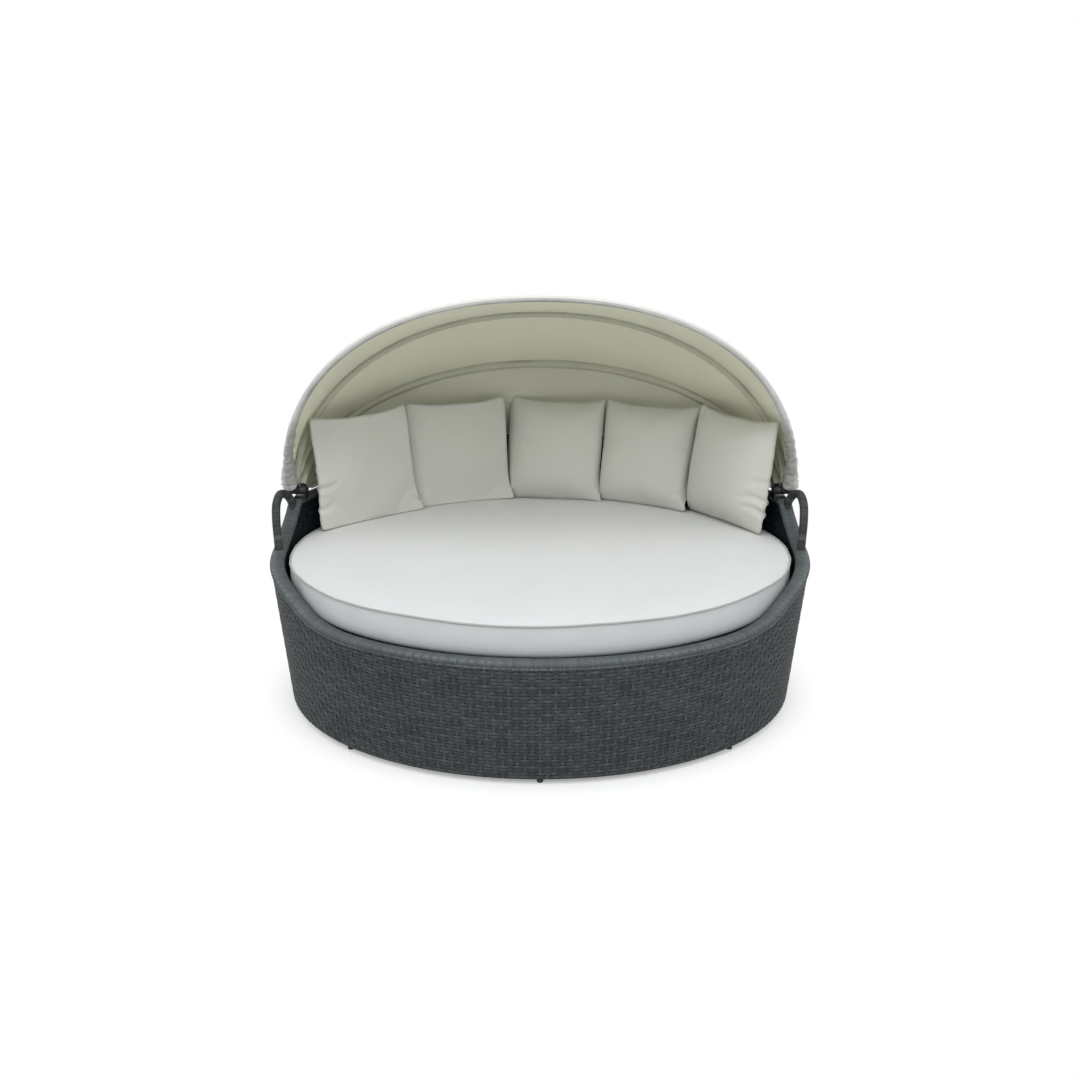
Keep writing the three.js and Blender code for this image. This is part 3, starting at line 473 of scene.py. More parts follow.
def woven_wall(name, inset, side, bottom, material):
    """Level strands that pass over and under upright stakes, up to the rim all round."""
    _, edge = even_angles(16, SPACING_LEVEL, inset)
    dashes = int(round(edge / DASH))
    steps = dashes * DASH_POINTS
    across, _ = even_angles(steps, SPACING_LEVEL, inset)
    rim_z = rim_centre(across)[:, 2]
    wave = np.cos(2 * math.pi * np.arange(steps) / DASH_POINTS)
    points, faces, tones = [], [], []
    total = 0

    def add(strip, quads, tone):
        nonlocal total
        points.append(strip.reshape(-1, 3))
        faces.extend(((quads if side > 0 else quads[:, ::-1]) + total).tolist())
        tones.append(tone)
        total += len(points[-1])

    for row in range(int((BACK_RIM - bottom) / STRAND_PITCH)):
        z = bottom + (row + 0.5) * STRAND_PITCH
        keep = rim_z > z + RIM_CLEARANCE
        if not keep.any():
            continue
        over = wave if row // 2 % 2 else -wave
        out = signed_power(over, 0.7) * STRAND_BULGE
        jitter = 0.0003 * np.sin(across * 37 + row * 1.7)
        strip = np.stack([oval(across, inset - side * (out + lift), z + dz + jitter)
                          for dz, lift in STRAND_PROFILE])
        quads = np.array(grid_faces(len(STRAND_PROFILE), steps, False, True)).reshape(-1, steps, 4)
        shade = np.repeat(rng.uniform(0, 1, dashes + 1), DASH_POINTS)
        shade = shade[DASH_POINTS // 2: DASH_POINTS // 2 + steps]
        shade = 0.30 + 0.22 * shade + 0.08 * rng.uniform(0, 1)
        # Painted highlight along the upper edge where a strand passes over, stronger on every other
        # row, and painted shade along the lower edge of every strand
        painted_highlight = np.clip(over, 0, 1) ** 0.6 * (0.45 if row % 2 else 0.12)
        painted_highlight = painted_highlight * (0.5 + np.roll(shade, 3))
        add(strip, quads[:, keep & np.roll(keep, -1)].reshape(-1, 4),
            np.concatenate([shade - 0.12, shade, shade + 0.35 * painted_highlight, shade + painted_highlight]))
    for stake in range(2 * dashes):
        centre = across[(stake * DASH_POINTS // 2) % steps]
        top = rim_centre(np.array([centre]))[0, 2]
        count = int((top - bottom) / STRAND_PITCH * 2)
        if count < 3:
            continue
        zs = bottom + np.arange(count) * STRAND_PITCH / 2
        out = math.cos(math.pi * stake) * np.sin(math.pi / 2 * (np.arange(count) / 2 + 1))
        out = out * STRAND_BULGE
        turn = STAKE_HALF / math.hypot(
            HALF_WIDTH * math.sin(centre), HALF_DEPTH * math.cos(centre))
        strip = np.stack([
            oval(centre + share * turn, inset - side * (out * STAKE_LIFT + lift), zs)
            for share, lift in ((-1, -0.001), (0, 0.0004), (1, -0.001))])
        tone = 0.36 + 0.25 * rng.uniform(0, 1, count)
        add(strip, np.array(grid_faces(3, count)), np.tile(tone, 3))
    obj = new_object(name, np.concatenate(points), faces, material)
    paint(obj, "tone", np.concatenate(tones))
    return obj


def wall_backing(name, outer, inner, bottom):
    """A thin closed wall behind the weave, so that no light comes through it."""
    angles = np.linspace(0, 2 * math.pi, 241)[:-1]
    top = rim_centre(angles)[:, 2]
    corners = ((outer, bottom), (outer, top), (inner, top), (inner, bottom))
    points = np.concatenate([oval(angles, inset, z) for inset, z in corners])
    faces = grid_faces(4, len(angles), True, True)
    obj = new_object(name, points, faces, backing_mat, smooth=False)
    paint(obj, "tone", np.full(len(points), 0.3))
    return facing_out(obj)


def wrapped_roll(name, frames, half_width, half_height, length, rib, closed, material, tone_seed,
                 base=0.4, spread=0.14, dashes=0.0):
    """A roll bound round with a flat strand: slanted ribs, each with its own tone."""
    centre, out, up = frames
    count, sides = len(centre), 16
    turns = 2 * math.pi * np.arange(sides) / sides
    along = np.arange(count) / count * length
    phase = along[:, None] / rib + 0.35 * np.sin(turns)[None] + 0.2 * np.cos(turns)[None]
    ridge = np.abs(np.sin(math.pi * phase)) ** 0.55
    grow = 0.16 * rib * (ridge - 0.55)
    # A little squarer than an oval
    c, s = signed_power(np.cos(turns), 0.88), signed_power(np.sin(turns), 0.88)
    ring = out[:, None] * (c[None] * (half_width + grow))[..., None]
    ring = ring + up[:, None] * (s[None] * (half_height + grow))[..., None]
    points = (centre[:, None] + ring).reshape(-1, 3)
    faces = [f[::-1] for f in grid_faces(count, sides, closed, True)]
    if not closed:
        faces += [list(range(sides)), list(range(len(points) - sides, len(points)))[::-1]]
    obj = new_object(name, points, faces, material)
    shades = np.random.default_rng(tone_seed).uniform(0, 1, int(length / rib) + 8)
    tone = base + spread * shades[np.floor(phase + 2).astype(int) % len(shades)]
    if not closed:
        # Paler bindings near both ends
        tone[(along > length - 0.075) & (along < length - 0.055)] += 0.3
        tone[(along > 0.045) & (along < 0.060)] += 0.3
    if dashes:
        # Painted light and shade round the roll: a broken painted highlight just below its outer
        # side and a second one on its upper side, that upper side lighter, and painted shade below
        # and on the outermost side
        painted_highlight = 0.30 + 0.12 * np.sin(along * 7.3) + 0.14 * np.sin(along * 31)
        painted_highlight = (np.mod(along / dashes, 1) < 0.86) * painted_highlight
        painted_highlight = painted_highlight + 0.25 * (np.mod(along / dashes + 0.2 * np.sin(along * 5), 1) < 0.2)
        tone[:, -1] += painted_highlight
        tone[:, -2] += 0.7 * painted_highlight
        tone[:, -3] -= 0.3
        tone[:, 0] -= 0.12
        second = (np.mod(along / dashes + 0.5, 1) < 0.7) * (0.18 + 0.12 * np.sin(along * 9.1 + 2))
        tone[:, 2] += second
        tone[:, 3] += 0.10
    paint(obj, "tone", tone)
    return facing_out(obj)


outer_weave = woven_wall(
    "outer_weave", inset=0.0012, side=1, bottom=FOOT_HEIGHT + 0.004, material=weave_mat)
outer_backing = wall_backing(
    "outer_backing", outer=0.0036, inner=0.0050, bottom=FOOT_HEIGHT + 0.001)
inner_weave = woven_wall(
    "inner_weave", inset=WALL_THICKNESS - 0.0012, side=-1, bottom=0.452, material=inner_weave_shaded_mat)
inner_backing = wall_backing(
    "inner_backing", outer=WALL_THICKNESS - 0.0050, inner=WALL_THICKNESS - 0.0036, bottom=0.3795)
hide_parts("outer_skin")
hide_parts("inner_skin")

rim_angles, rim_length = even_angles(4200, 0.5, MIDDLE)
rim_wrap = wrapped_roll(
    "rim_wrap", rim_frame(rim_angles), ROLL_WIDTH / 2, ROLL_HEIGHT / 2, rim_length, rib=0.0052,
    closed=True, material=rim_mat, tone_seed=3, dashes=0.027)
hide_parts("rim_roll")


def arm_point(share):
    y = share[0] * HINGE_BACK
    z = SIDE_RIM + share[1] * (ARM_CREST - SIDE_RIM)
    angle = math.asin(y / (HALF_DEPTH * flare_at(z) - MIDDLE))
    return oval(angle, MIDDLE, z)


def through(knots, count):
    """A smooth path through knots, after Catmull and Rom, with centripetal spacing."""
    k = np.array(knots, float)
    k = np.concatenate([[2 * k[0] - k[1]], k, [2 * k[-1] - k[-2]]])
    t = np.concatenate([[0], np.cumsum(np.linalg.norm(np.diff(k, axis=0), axis=1) ** 0.5)])
    wanted = np.linspace(t[1], t[-2], count)
    result = []
    for w in wanted:
        i = int(np.clip(np.searchsorted(t, w) - 1, 1, len(k) - 3))
        p, q = k[i - 1:i + 3], t[i - 1:i + 3]
        a = [p[j] + (p[j + 1] - p[j]) * (w - q[j]) / (q[j + 1] - q[j]) for j in range(3)]
        b = [a[j] + (a[j + 1] - a[j]) * (w - q[j]) / (q[j + 2] - q[j]) for j in range(2)]
        result.append(b[0] + (b[1] - b[0]) * (w - q[1]) / (q[2] - q[1]))
    return np.array(result)


def arm_wrap(side):
    path = through([arm_point(s) for s in ARM_PATH], 480)
    path[:, 0] *= side
    run = unit(np.gradient(path, axis=0))
    away = path * LEVEL_OUT
    out = unit(away - run * np.sum(away * run, 1, keepdims=True))
    half = ARM_TUBE / 2 - 0.0002
    end = "right" if side > 0 else "left"
    obj = wrapped_roll(
        f"arm_wrap_{end}", (path, out, np.cross(run, out)), half, half, arc(path)[-1], rib=0.0062,
        closed=False, material=arm_mat, tone_seed=11 + side, base=0.34, spread=0.2)
    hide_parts(f"arm_loop_{end}")
    return obj


arms = [arm_wrap(1), arm_wrap(-1)]


# Cloth simulation

def inflate(obj, pressure, frames, most, mass, stiffness, bending):
    """Blows a closed cushion up for a few frames with no gravity, then keeps the result, in which
    no point has moved further than the most."""
    start = coords(obj)
    modifier = obj.modifiers.new("cloth", "CLOTH")
    settings = modifier.settings
    settings.quality = 6
    settings.mass = mass
    settings.tension_stiffness = settings.compression_stiffness = stiffness
    settings.shear_stiffness = stiffness / 3
    settings.bending_stiffness = bending
    settings.use_pressure = True
    settings.uniform_pressure_force = pressure
    settings.effector_weights.gravity = 0
    modifier.point_cache.frame_start, modifier.point_cache.frame_end = 1, frames
    scene = bpy.context.scene
    scene.frame_start, scene.frame_end = 1, frames
    for number in range(1, frames + 1):
        scene.frame_set(number)
    move = coords(obj.evaluated_get(bpy.context.evaluated_depsgraph_get())) - start
    obj.modifiers.remove(modifier)
    scene.frame_set(1)
    size = np.linalg.norm(move, axis=1, keepdims=True)
    move = move * most * np.tanh(size / most) / np.maximum(size, 1e-9)
    set_coords(obj, start + move)


# Seat cushion

# Rings of the top from the middle out (size, crown)
TOP_RINGS = [
    (0, 1), (0.09, 1), (0.18, 0.995), (0.27, 0.99), (0.36, 0.98), (0.44, 0.97), (0.52, 0.955),
    (0.59, 0.94), (0.65, 0.92), (0.705, 0.9), (0.75, 0.87), (0.79, 0.835), (0.825, 0.79),
    (0.855, 0.74), (0.88, 0.68), (0.903, 0.61), (0.923, 0.53), (0.94, 0.44), (0.955, 0.34),
    (0.968, 0.24), (0.979, 0.13), (0.988, 0),
]
# Rings of the side from top to bottom (size, rise)
SIDE_RINGS = [
    (0.990, 0.93), (0.994, 0.78), (0.997, 0.6), (0.999, 0.42), (0.999, 0.24), (0.996, 0.10),
]
ROLL_INSET = MIDDLE + ROLL_WIDTH / 2


def disc_grid(half):
    """A square grid of points wound onto a disc: ring number and angle of each point."""
    line = np.arange(-half, half + 1)
    b, a = np.meshgrid(line, line, indexing="ij")
    ring = np.maximum(np.abs(a), np.abs(b))
    safe = np.maximum(ring, 1)
    wide = np.abs(a) >= np.abs(b)
    across = (math.pi / 4) * b / safe * np.sign(a) + np.where(a < 0, math.pi, 0)
    upright = math.pi / 2 * np.sign(b) - (math.pi / 4) * a / safe * np.sign(b)
    return ring.ravel(), np.mod(np.where(wide, across, upright), 2 * math.pi).ravel()


def cushion_ring(angle, size, z):
    ring = oval(angle, ROLL_INSET + 0.0003, z)
    scale_level(ring, size)
    return ring


def seat_cushion():
    half = len(TOP_RINGS) - 1
    ring, angle = disc_grid(half)
    sizes, crowns = np.array(TOP_RINGS).T
    top = cushion_ring(angle, sizes[ring], np.full(len(ring), PIPING_HEIGHT))
    top[:, 2] += crowns[ring] * CUSHION_CROWN * 0.8
    bottom_sizes = np.interp(np.arange(half + 1), [0, half], [0, 0.965])
    bottom = cushion_ring(angle, bottom_sizes[ring], np.full(len(ring), CUSHION_BOTTOM))
    outer = np.nonzero(ring == half)[0]
    outer = outer[np.argsort(angle[outer])]
    rows, points, start = [outer], [top], len(top)
    for size, rise in SIDE_RINGS:
        z = np.full(len(outer), CUSHION_BOTTOM + rise * (PIPING_HEIGHT - CUSHION_BOTTOM))
        points.append(cushion_ring(angle[outer], size, z))
        rows.append(start + np.arange(len(outer)))
        start += len(outer)
    points.append(bottom)
    rows.append(start + outer)
    side = 2 * half + 1
    faces = grid_faces(side, side) + [f[::-1] for f in grid_faces(side, side, start=start)]
    for upper, lower in zip(rows, rows[1:]):
        faces += np.stack([upper, np.roll(upper, -1), np.roll(lower, -1), lower], -1).tolist()
    obj = facing_out(new_object("seat_pad", np.concatenate(points), faces, seat_mat))
    inflate(obj, pressure=2.4, frames=18, most=0.008, mass=0.3, stiffness=15, bending=4)
    # Soft dents where people sit and where the filling has settled
    p = coords(obj)
    level = np.clip((p[:, 2] - PIPING_HEIGHT) / 0.012, 0, 1)
    x, y = p[:, 0], p[:, 1] - SHIFT
    dent = 0.0030 * np.sin(4.1 * x + 0.7) * np.sin(5.3 * y - 0.4) + 0.0014 * np.sin(11 * x - 3 * y)
    dent -= 0.0035 * np.exp(-((x - 0.25) ** 2 + (y + 0.18) ** 2) / 0.05)
    dent -= 0.0030 * np.exp(-((x + 0.33) ** 2 + (y + 0.12) ** 2) / 0.04)
    p[:, 2] += level * dent
    band = bell(p[:, 2] - (PIPING_HEIGHT - 0.04), 0.045)
    turn = np.arctan2(y / HALF_DEPTH, x / HALF_WIDTH)
    gathers = 0.0018 * np.sin(23 * turn + 2 * np.sin(5 * turn)) + 0.0011 * np.sin(47 * turn + 1)
    pull = band * (gathers - 0.002)
    p[:, 0] += pull * np.cos(turn)
    p[:, 1] += pull * np.sin(turn)
    p[:, 2] += 0.0018 * np.sin(9 * turn + 1) * bell(p[:, 2] - PIPING_HEIGHT, 0.012)
    # Never past the inner side of the wrapped rim
    scale_level(p, 1 / np.maximum(wall_reach(p, ROLL_INSET + 0.0004), 1))
    set_coords(obj, p)
    edge = p[outer]
    subdivide(obj)
    return obj, edge


seat, seat_edge = seat_cushion()
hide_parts("seat_cushion")
outward = unit((seat_edge - [0, SHIFT, 0]) * LEVEL_OUT)
seat_piping = closed_tube("seat_piping", seat_edge + outward * 0.0010, 0.0034, 10, piping_mat)
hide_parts("seat_cushion")


# Pillows

def pillow_mesh(name, seed):
    """Two faces sewn along the edge, then blown up so that the edge draws in and puckers."""
    n = 56
    size, thick = PILLOW_SIZE * 1.02, PILLOW_THICKNESS * 0.66
    t = np.linspace(-1, 1, n + 1)
    v, u = np.meshgrid(t, t, indexing="ij")
    puff = np.maximum((1 - u ** 2) * (1 - v ** 2), 0) ** 0.5
    noise = np.random.default_rng(seed)
    soft = sum(
        noise.normal() * np.sin((a + 1) * 1.7 * u + noise.uniform(0, 6))
        * np.sin((b + 1) * 1.7 * v + noise.uniform(0, 6)) for a in range(3) for b in range(3))
    # Slack cloth gathered along the sewn edge
    gather = np.zeros_like(u)
    for along, across in ((v, u), (u, v)):
        phase = noise.uniform(0, 6)
        wave = np.sin(19 * along + 2.2 * np.sin(5 * along + phase) + phase)
        wave = wave * bell(1 - np.abs(across), 0.16)
        gather += wave * np.clip((1 - np.abs(along)) / 0.15, 0, 1)
    x = size / 2 * u * (1 - 0.030 * (1 - v ** 2) * np.abs(u))
    z = size / 2 * v * (1 - 0.030 * (1 - u ** 2) * np.abs(v))
    edge_off = 0.0009 * gather * (puff > 0)
    front = np.stack([x, -thick / 2 * puff - 0.0022 * soft * puff - edge_off, z], -1).reshape(-1, 3)
    back = np.stack([x, thick / 2 * puff - edge_off, z], -1)[1:-1, 1:-1].reshape(-1, 3)
    index_front = np.arange((n + 1) ** 2).reshape(n + 1, n + 1)
    index_back = index_front.copy()
    index_back[1:-1, 1:-1] = (n + 1) ** 2 + np.arange((n - 1) ** 2).reshape(n - 1, n - 1)
    faces = []
    for table, flip in ((index_front, False), (index_back, True)):
        quads = np.stack([table[:-1, :-1], table[:-1, 1:], table[1:, 1:], table[1:, :-1]], -1)
        quads = quads.reshape(-1, 4)
        faces += (quads[:, ::-1] if flip else quads).tolist()
    obj = facing_out(new_object(name, np.concatenate([front, back]), faces, pillow_mat))
    edge = [*index_front[0], *index_front[1:, -1],
            *index_front[-1, -2::-1], *index_front[-2:0:-1, 0]]
    place = np.stack([np.concatenate([w.ravel(), w[1:-1, 1:-1].ravel()]) for w in (u, v)], -1)
    return obj, edge, place


# Creases that run in from the sewn edge of each pillow: start, way in degrees, length and depth
CREASES = [
    [(-1, -0.22, 12, 0.50, 0.009), (-1, -0.62, 28, 0.40, 0.007), (-1, 0.12, -8, 0.28, 0.004),
     (0.25, 1, -80, 0.22, 0.004), (1, -0.76, 168, 0.30, 0.008), (1, -0.2, 186, 0.2, 0.003)],
    [(1, -0.74, 165, 0.34, 0.009), (-0.35, 1, -75, 0.26, 0.005), (0.1, -1, 95, 0.2, 0.004),
     (0.8, 1, -125, 0.3, 0.005)],
    [(1, -0.18, 176, 0.26, 0.005), (1, -0.75, 166, 0.32, 0.010), (-0.15, 1, -95, 0.26, 0.005),
     (-0.9, -1, 50, 0.3, 0.005)],
    [(1, 0.12, 184, 0.36, 0.007), (1, -0.35, 172, 0.28, 0.004), (1, -0.75, 163, 0.36, 0.011),
     (-0.4, 1, -80, 0.22, 0.004)],
    [(1, -0.05, 188, 0.38, 0.006), (1, -0.38, 172, 0.55, 0.009), (1, -0.62, 160, 0.5, 0.008),
     (0.55, -1, 110, 0.32, 0.005), (-0.9, 1, -50, 0.3, 0.005)],
]


def pinch(p, place, creases):
    """Pulls a narrow valley with soft banks into the front face, deepest at the sewn edge."""
    front = p[:, 1] < 0.004
    for u0, v0, degrees, length, depth in creases:
        way = math.radians(degrees)
        du, dv = place[:, 0] - u0, place[:, 1] - v0
        along = du * math.cos(way) + dv * math.sin(way)
        across = -du * math.sin(way) + dv * math.cos(way) + 0.05 * np.sin(7 * along)
        fade = np.clip(1 - along / length, 0, 1) * (along > -0.1)
        valley = bell(across, 0.042)
        valley = valley - 0.6 * bell(across - 0.10, 0.055) - 0.5 * bell(across + 0.10, 0.055)
        p[:, 1] += front * depth * valley * fade ** 0.8
    return p


def corner_share(across):
    """How much a place takes part in the flop of a corner, from its share of the way across."""
    return np.clip((across - 0.66) / 0.34, 0, 1) ** 1.9


def settle(p, place, bends, spread):
    """Straightens the sewn edges, slumps the pillow and flops its lower corners forwards."""
    half = PILLOW_SIZE / 2
    u, v = place.T
    # The corners keep their place; between them the sewn edges stay nearly straight
    for axis, along, across in ((0, v, u), (2, u, v)):
        for sign in (-1, 1):
            rim = np.abs(across - sign) < 1e-6
            order = np.argsort(along[rim])
            drawn = np.interp(along, along[rim][order], p[rim, axis][order] * sign)
            wave = 0.004 * np.sin(9 * along + 5 * sign + axis)
            wanted = half * (1.0 - 0.014 * (1 - along ** 2) + wave)
            p[:, axis] += sign * (wanted - drawn) * np.clip(sign * across, 0, 1) ** 1.2
    p[:, 0] *= 1.020 + spread[0] * np.clip(-v, 0, 1) - spread[1] * np.clip(v, 0, 1)
    p[:, 2] *= 1 - 0.026 * (1 - u ** 2) * np.abs(v) ** 2 * (v > 0)
    # Rounded corners
    corner = 0.009 * np.abs(u * v) ** 12
    p[:, 0] -= np.sign(u) * corner
    p[:, 2] -= np.sign(v) * corner
    # Ears at the top corners stand up
    ear = np.clip((np.abs(u) + v - 1.36) / 0.64, 0, 1) ** 2.4
    p[:, 2] += 0.018 * ear
    p[:, 1] += 0.004 * ear
    # The weight of the filling goes down
    low = np.clip((0.35 - v) / 1.35, 0, 1)
    p[:, 1] *= 0.93 + 0.13 * low
    for side, amount in bends:
        w = corner_share((p[:, 0] * side - p[:, 2]) / PILLOW_SIZE)
        p[:, 1] -= w * 0.030 * amount
        p[:, 0] += w * 0.007 * amount * side
        p[:, 2] += w * 0.004 * amount
    return p


def pressed(distance, margin):
    """Eases what would stand past a surface (distance above 0) back to it, softly and in order."""
    eased = -margin * np.exp(-np.maximum(distance + margin, 0) / margin)
    return np.where(distance > -margin, eased, distance)


def evened(obj, place):
    """Evens out the blown-up faces, most in the middle, and leaves the sewn edge as it is."""
    edges = np.empty(len(obj.data.edges) * 2, int)
    obj.data.edges.foreach_get("vertices", edges)
    a, b = edges.reshape(-1, 2).T
    p = coords(obj)
    count = np.bincount(a, minlength=len(p)) + np.bincount(b, minlength=len(p))
    weight = np.clip((1 - np.abs(place).max(1)) / 0.16, 0, 1)
    for _ in range(36):
        total = [np.bincount(a, q[b], len(p)) + np.bincount(b, q[a], len(p)) for q in p.T]
        p += (np.stack(total, -1) / count[:, None] - p) * (weight * 0.8)[:, None]
    return p


def tree_of(obj):
    return BVHTree.FromPolygons(
        [Vector(c) for c in coords(obj)], [tuple(f.vertices) for f in obj.data.polygons])


seat_tree = tree_of(seat)
# Lower corners that flop forwards: their side and how much
BENDS = [[(-1, 0.35), (1, 0.6)], [(1, 0.8)], [(1, 1.0)], [(1, 1.15)], [(1, 0.4)]]
# How much wider each pillow is at the foot, and narrower at the top
SPREADS = [(0.085, 0.005), (0.02, 0.012), (0.015, 0.02), (0.02, 0.012), (0.01, 0.055)]
pillow_stand = PIPING_HEIGHT + CUSHION_CROWN - PILLOW_SINK
pillow_middles = [oval(math.radians(degrees), inset * PILLOW_SIZE, pillow_stand + PILLOW_SIZE / 2)
                  for degrees, inset, _, _ in PILLOWS]


def stood_up(p, number):
    """Stands a pillow on the seat, turned and leaning as in PILLOWS."""
    degrees, inset, turn, lean = PILLOWS[number]
    foot = oval(math.radians(degrees), inset * PILLOW_SIZE, pillow_stand)
    matrix = Matrix.Translation(foot.tolist()) @ Matrix.Rotation(math.radians(turn), 4, "Z")
    matrix = matrix @ Matrix.Rotation(-math.radians(lean), 4, "X")
    matrix = np.array(matrix @ Matrix.Translation((0, 0, PILLOW_SIZE / 2)))
    return p @ matrix[:3, :3].T + matrix[:3, 3]


def press_sideways(p, place, number):
    """Presses a pillow against those beside it, at the planes half way."""
    for side in (-1, 1):
        if not 0 <= number + side < len(PILLOWS):
            continue
        here, other = pillow_middles[number], pillow_middles[number + side]
        way = unit((other - here) * [1, 1, 0])
        # The lower right corner flops over the next pillow, whose own corner makes room
        corner = corner_share((side * place[:, 0] - place[:, 1]) / 2)
        past = (p - (other + here) / 2) @ way + 0.0015 - (0.020 if side > 0 else -0.003) * corner
        p += (pressed(past, 0.014) - past)[:, None] * way


def keep_inside(p):
    """Keeps what is below the rim inside the woven wall."""
    reach = wall_reach(p, WALL_THICKNESS + 0.003)
    rim = rim_centre(np.arctan2((p[:, 1] - SHIFT) / HALF_DEPTH, p[:, 0] / HALF_WIDTH))[:, 2] + 0.03
    scale_level(p, np.where(p[:, 2] < rim, (1 + pressed(reach - 1, 0.03)) / reach, 1))


def rest_on_seat(p):
    """Sinks a pillow a little into the seat, which holds it up."""
    for i, point in enumerate(p):
        hit = seat_tree.ray_cast(Vector((point[0], point[1], 0.8)), Vector((0, 0, -1)))[0]
        level = hit.z + 0.0008 if hit else PIPING_HEIGHT
        p[i, 2] = level - pressed(np.array(level - point[2]), 0.012)


pillows, pillow_pipings = [], []
for number in range(len(PILLOWS)):
    pillow, edge, uv = pillow_mesh(f"pillow_pad_{number + 1}", 20 + number)
    inflate(pillow, pressure=9.0, frames=24, most=0.030, mass=0.25, stiffness=12, bending=0.25)
    p = pinch(evened(pillow, uv), uv, CREASES[number])
    p = stood_up(settle(p, uv, BENDS[number], SPREADS[number]), number)
    press_sideways(p, uv, number)
    keep_inside(p)
    rest_on_seat(p)
    set_coords(pillow, p)
    subdivide(pillow)
    border = p[edge]
    lifted = border + unit(border - border.mean(0)) * 0.0004
    piping = closed_tube(f"pillow_piping_{number + 1}", lifted, 0.0016, 8, pillow_piping_mat)
    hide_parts(f"pillow_{number + 1}")
    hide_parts(f"pillow_{number + 1}")
    pillows.append(pillow)
    pillow_pipings.append(piping)


# Canopy: cloth stretched from bow to bow, with sleeves round the bows

def at_hinge(degrees, away):
    """Depth and height of a place at an angle and a distance from the hinges."""
    angle = math.radians(degrees)
    return HINGE_BACK + SHIFT - away * math.cos(angle), HINGE_HEIGHT + away * math.sin(angle)


def bow_frames(bow, turns):
    """Centre of the tube, the way out from the hinges, and the way to the front of its plane."""
    half, reach, fullness, degrees = BOWS[bow]
    power = 2 / fullness

    def centre_at(t):
        c, s = np.cos(t), np.maximum(0, np.sin(t))
        x = half * signed_power(c, power)
        away = reach * s ** power
        return np.stack([x, *at_hinge(degrees, away)], -1)
    nudge = np.minimum(np.minimum(turns, math.pi - turns) / 2, 0.05) + 1e-4
    run = unit(centre_at(turns + nudge) - centre_at(turns - nudge))
    normal = np.array([0, -math.sin(math.radians(degrees)), -math.cos(math.radians(degrees))])
    out = unit(np.cross(run, normal))
    return centre_at(turns), out, np.broadcast_to(normal, out.shape)


def edge_frames(bow, turns):
    """The frames of a bow, or without one those of the rail along the back rim."""
    if bow:
        return bow_frames(bow, turns)
    start = math.asin((HINGE_BACK + 0.048) / (RIM_DEPTH - MIDDLE))
    centre, out, up = rim_frame(start + turns / math.pi * (math.pi - 2 * start))
    return centre + up * (ROLL_HEIGHT / 2 + 0.0003 + BOW_RADIUS), out, up


SHEET_LIFT, HINGE_LIFT, SHEET_THICKNESS = 0.0103, 0.0022, 0.0014
STATIONS = 460


def stations():
    """Turns along a bow, closer together near the hinges where the cloth puckers."""
    even = np.linspace(0, 1, STATIONS)
    eased = even - 0.42 * np.sin(2 * math.pi * even) / (2 * math.pi)
    return math.pi * (0.006 + 0.988 * eased)


def shell(obj):
    modifier = obj.modifiers.new("shell", "SOLIDIFY")
    modifier.thickness = SHEET_THICKNESS
    modifier.offset = 0
    modifier.material_offset = 1
    modifier.use_even_offset = False
    return apply_modifiers(obj)


def grid_area(grid):
    a = np.cross(grid[1:, :-1] - grid[:-1, :-1], grid[:-1, 1:] - grid[:-1, :-1])
    b = np.cross(grid[1:, :-1] - grid[1:, 1:], grid[:-1, 1:] - grid[1:, 1:])
    return (np.linalg.norm(a, axis=-1).sum() + np.linalg.norm(b, axis=-1).sum()) / 2


# Sag and pleat depth of the cloth behind each bow
SPANS = {"front": (0.013, 0.007), "second": (0.012, 0.005), "third": (0.006, 0.003)}


def round_tube(centre, out, side, angle, lift):
    """Places round a tube, at an angle from the way out towards one side."""
    return centre + (out * math.cos(angle) + side * math.sin(angle)) * lift


def sunk(span, crown, share, folds):
    """How far the cloth of a span hangs below the straight line between its edges. Its pleats run
    out from the hinges and die away up the sides. Close to the hinges it lies tight."""
    sag, pleats = SPANS[span]
    hanging = sag * (4 * share * (1 - share) * (0.25 + 0.75 * crown ** 1.5))
    pleated = pleats * bell(crown - 0.04, 0.22) * folds
    return (hanging + pleated) * np.clip((crown - 0.02) / 0.14, 0, 1) ** 1.5


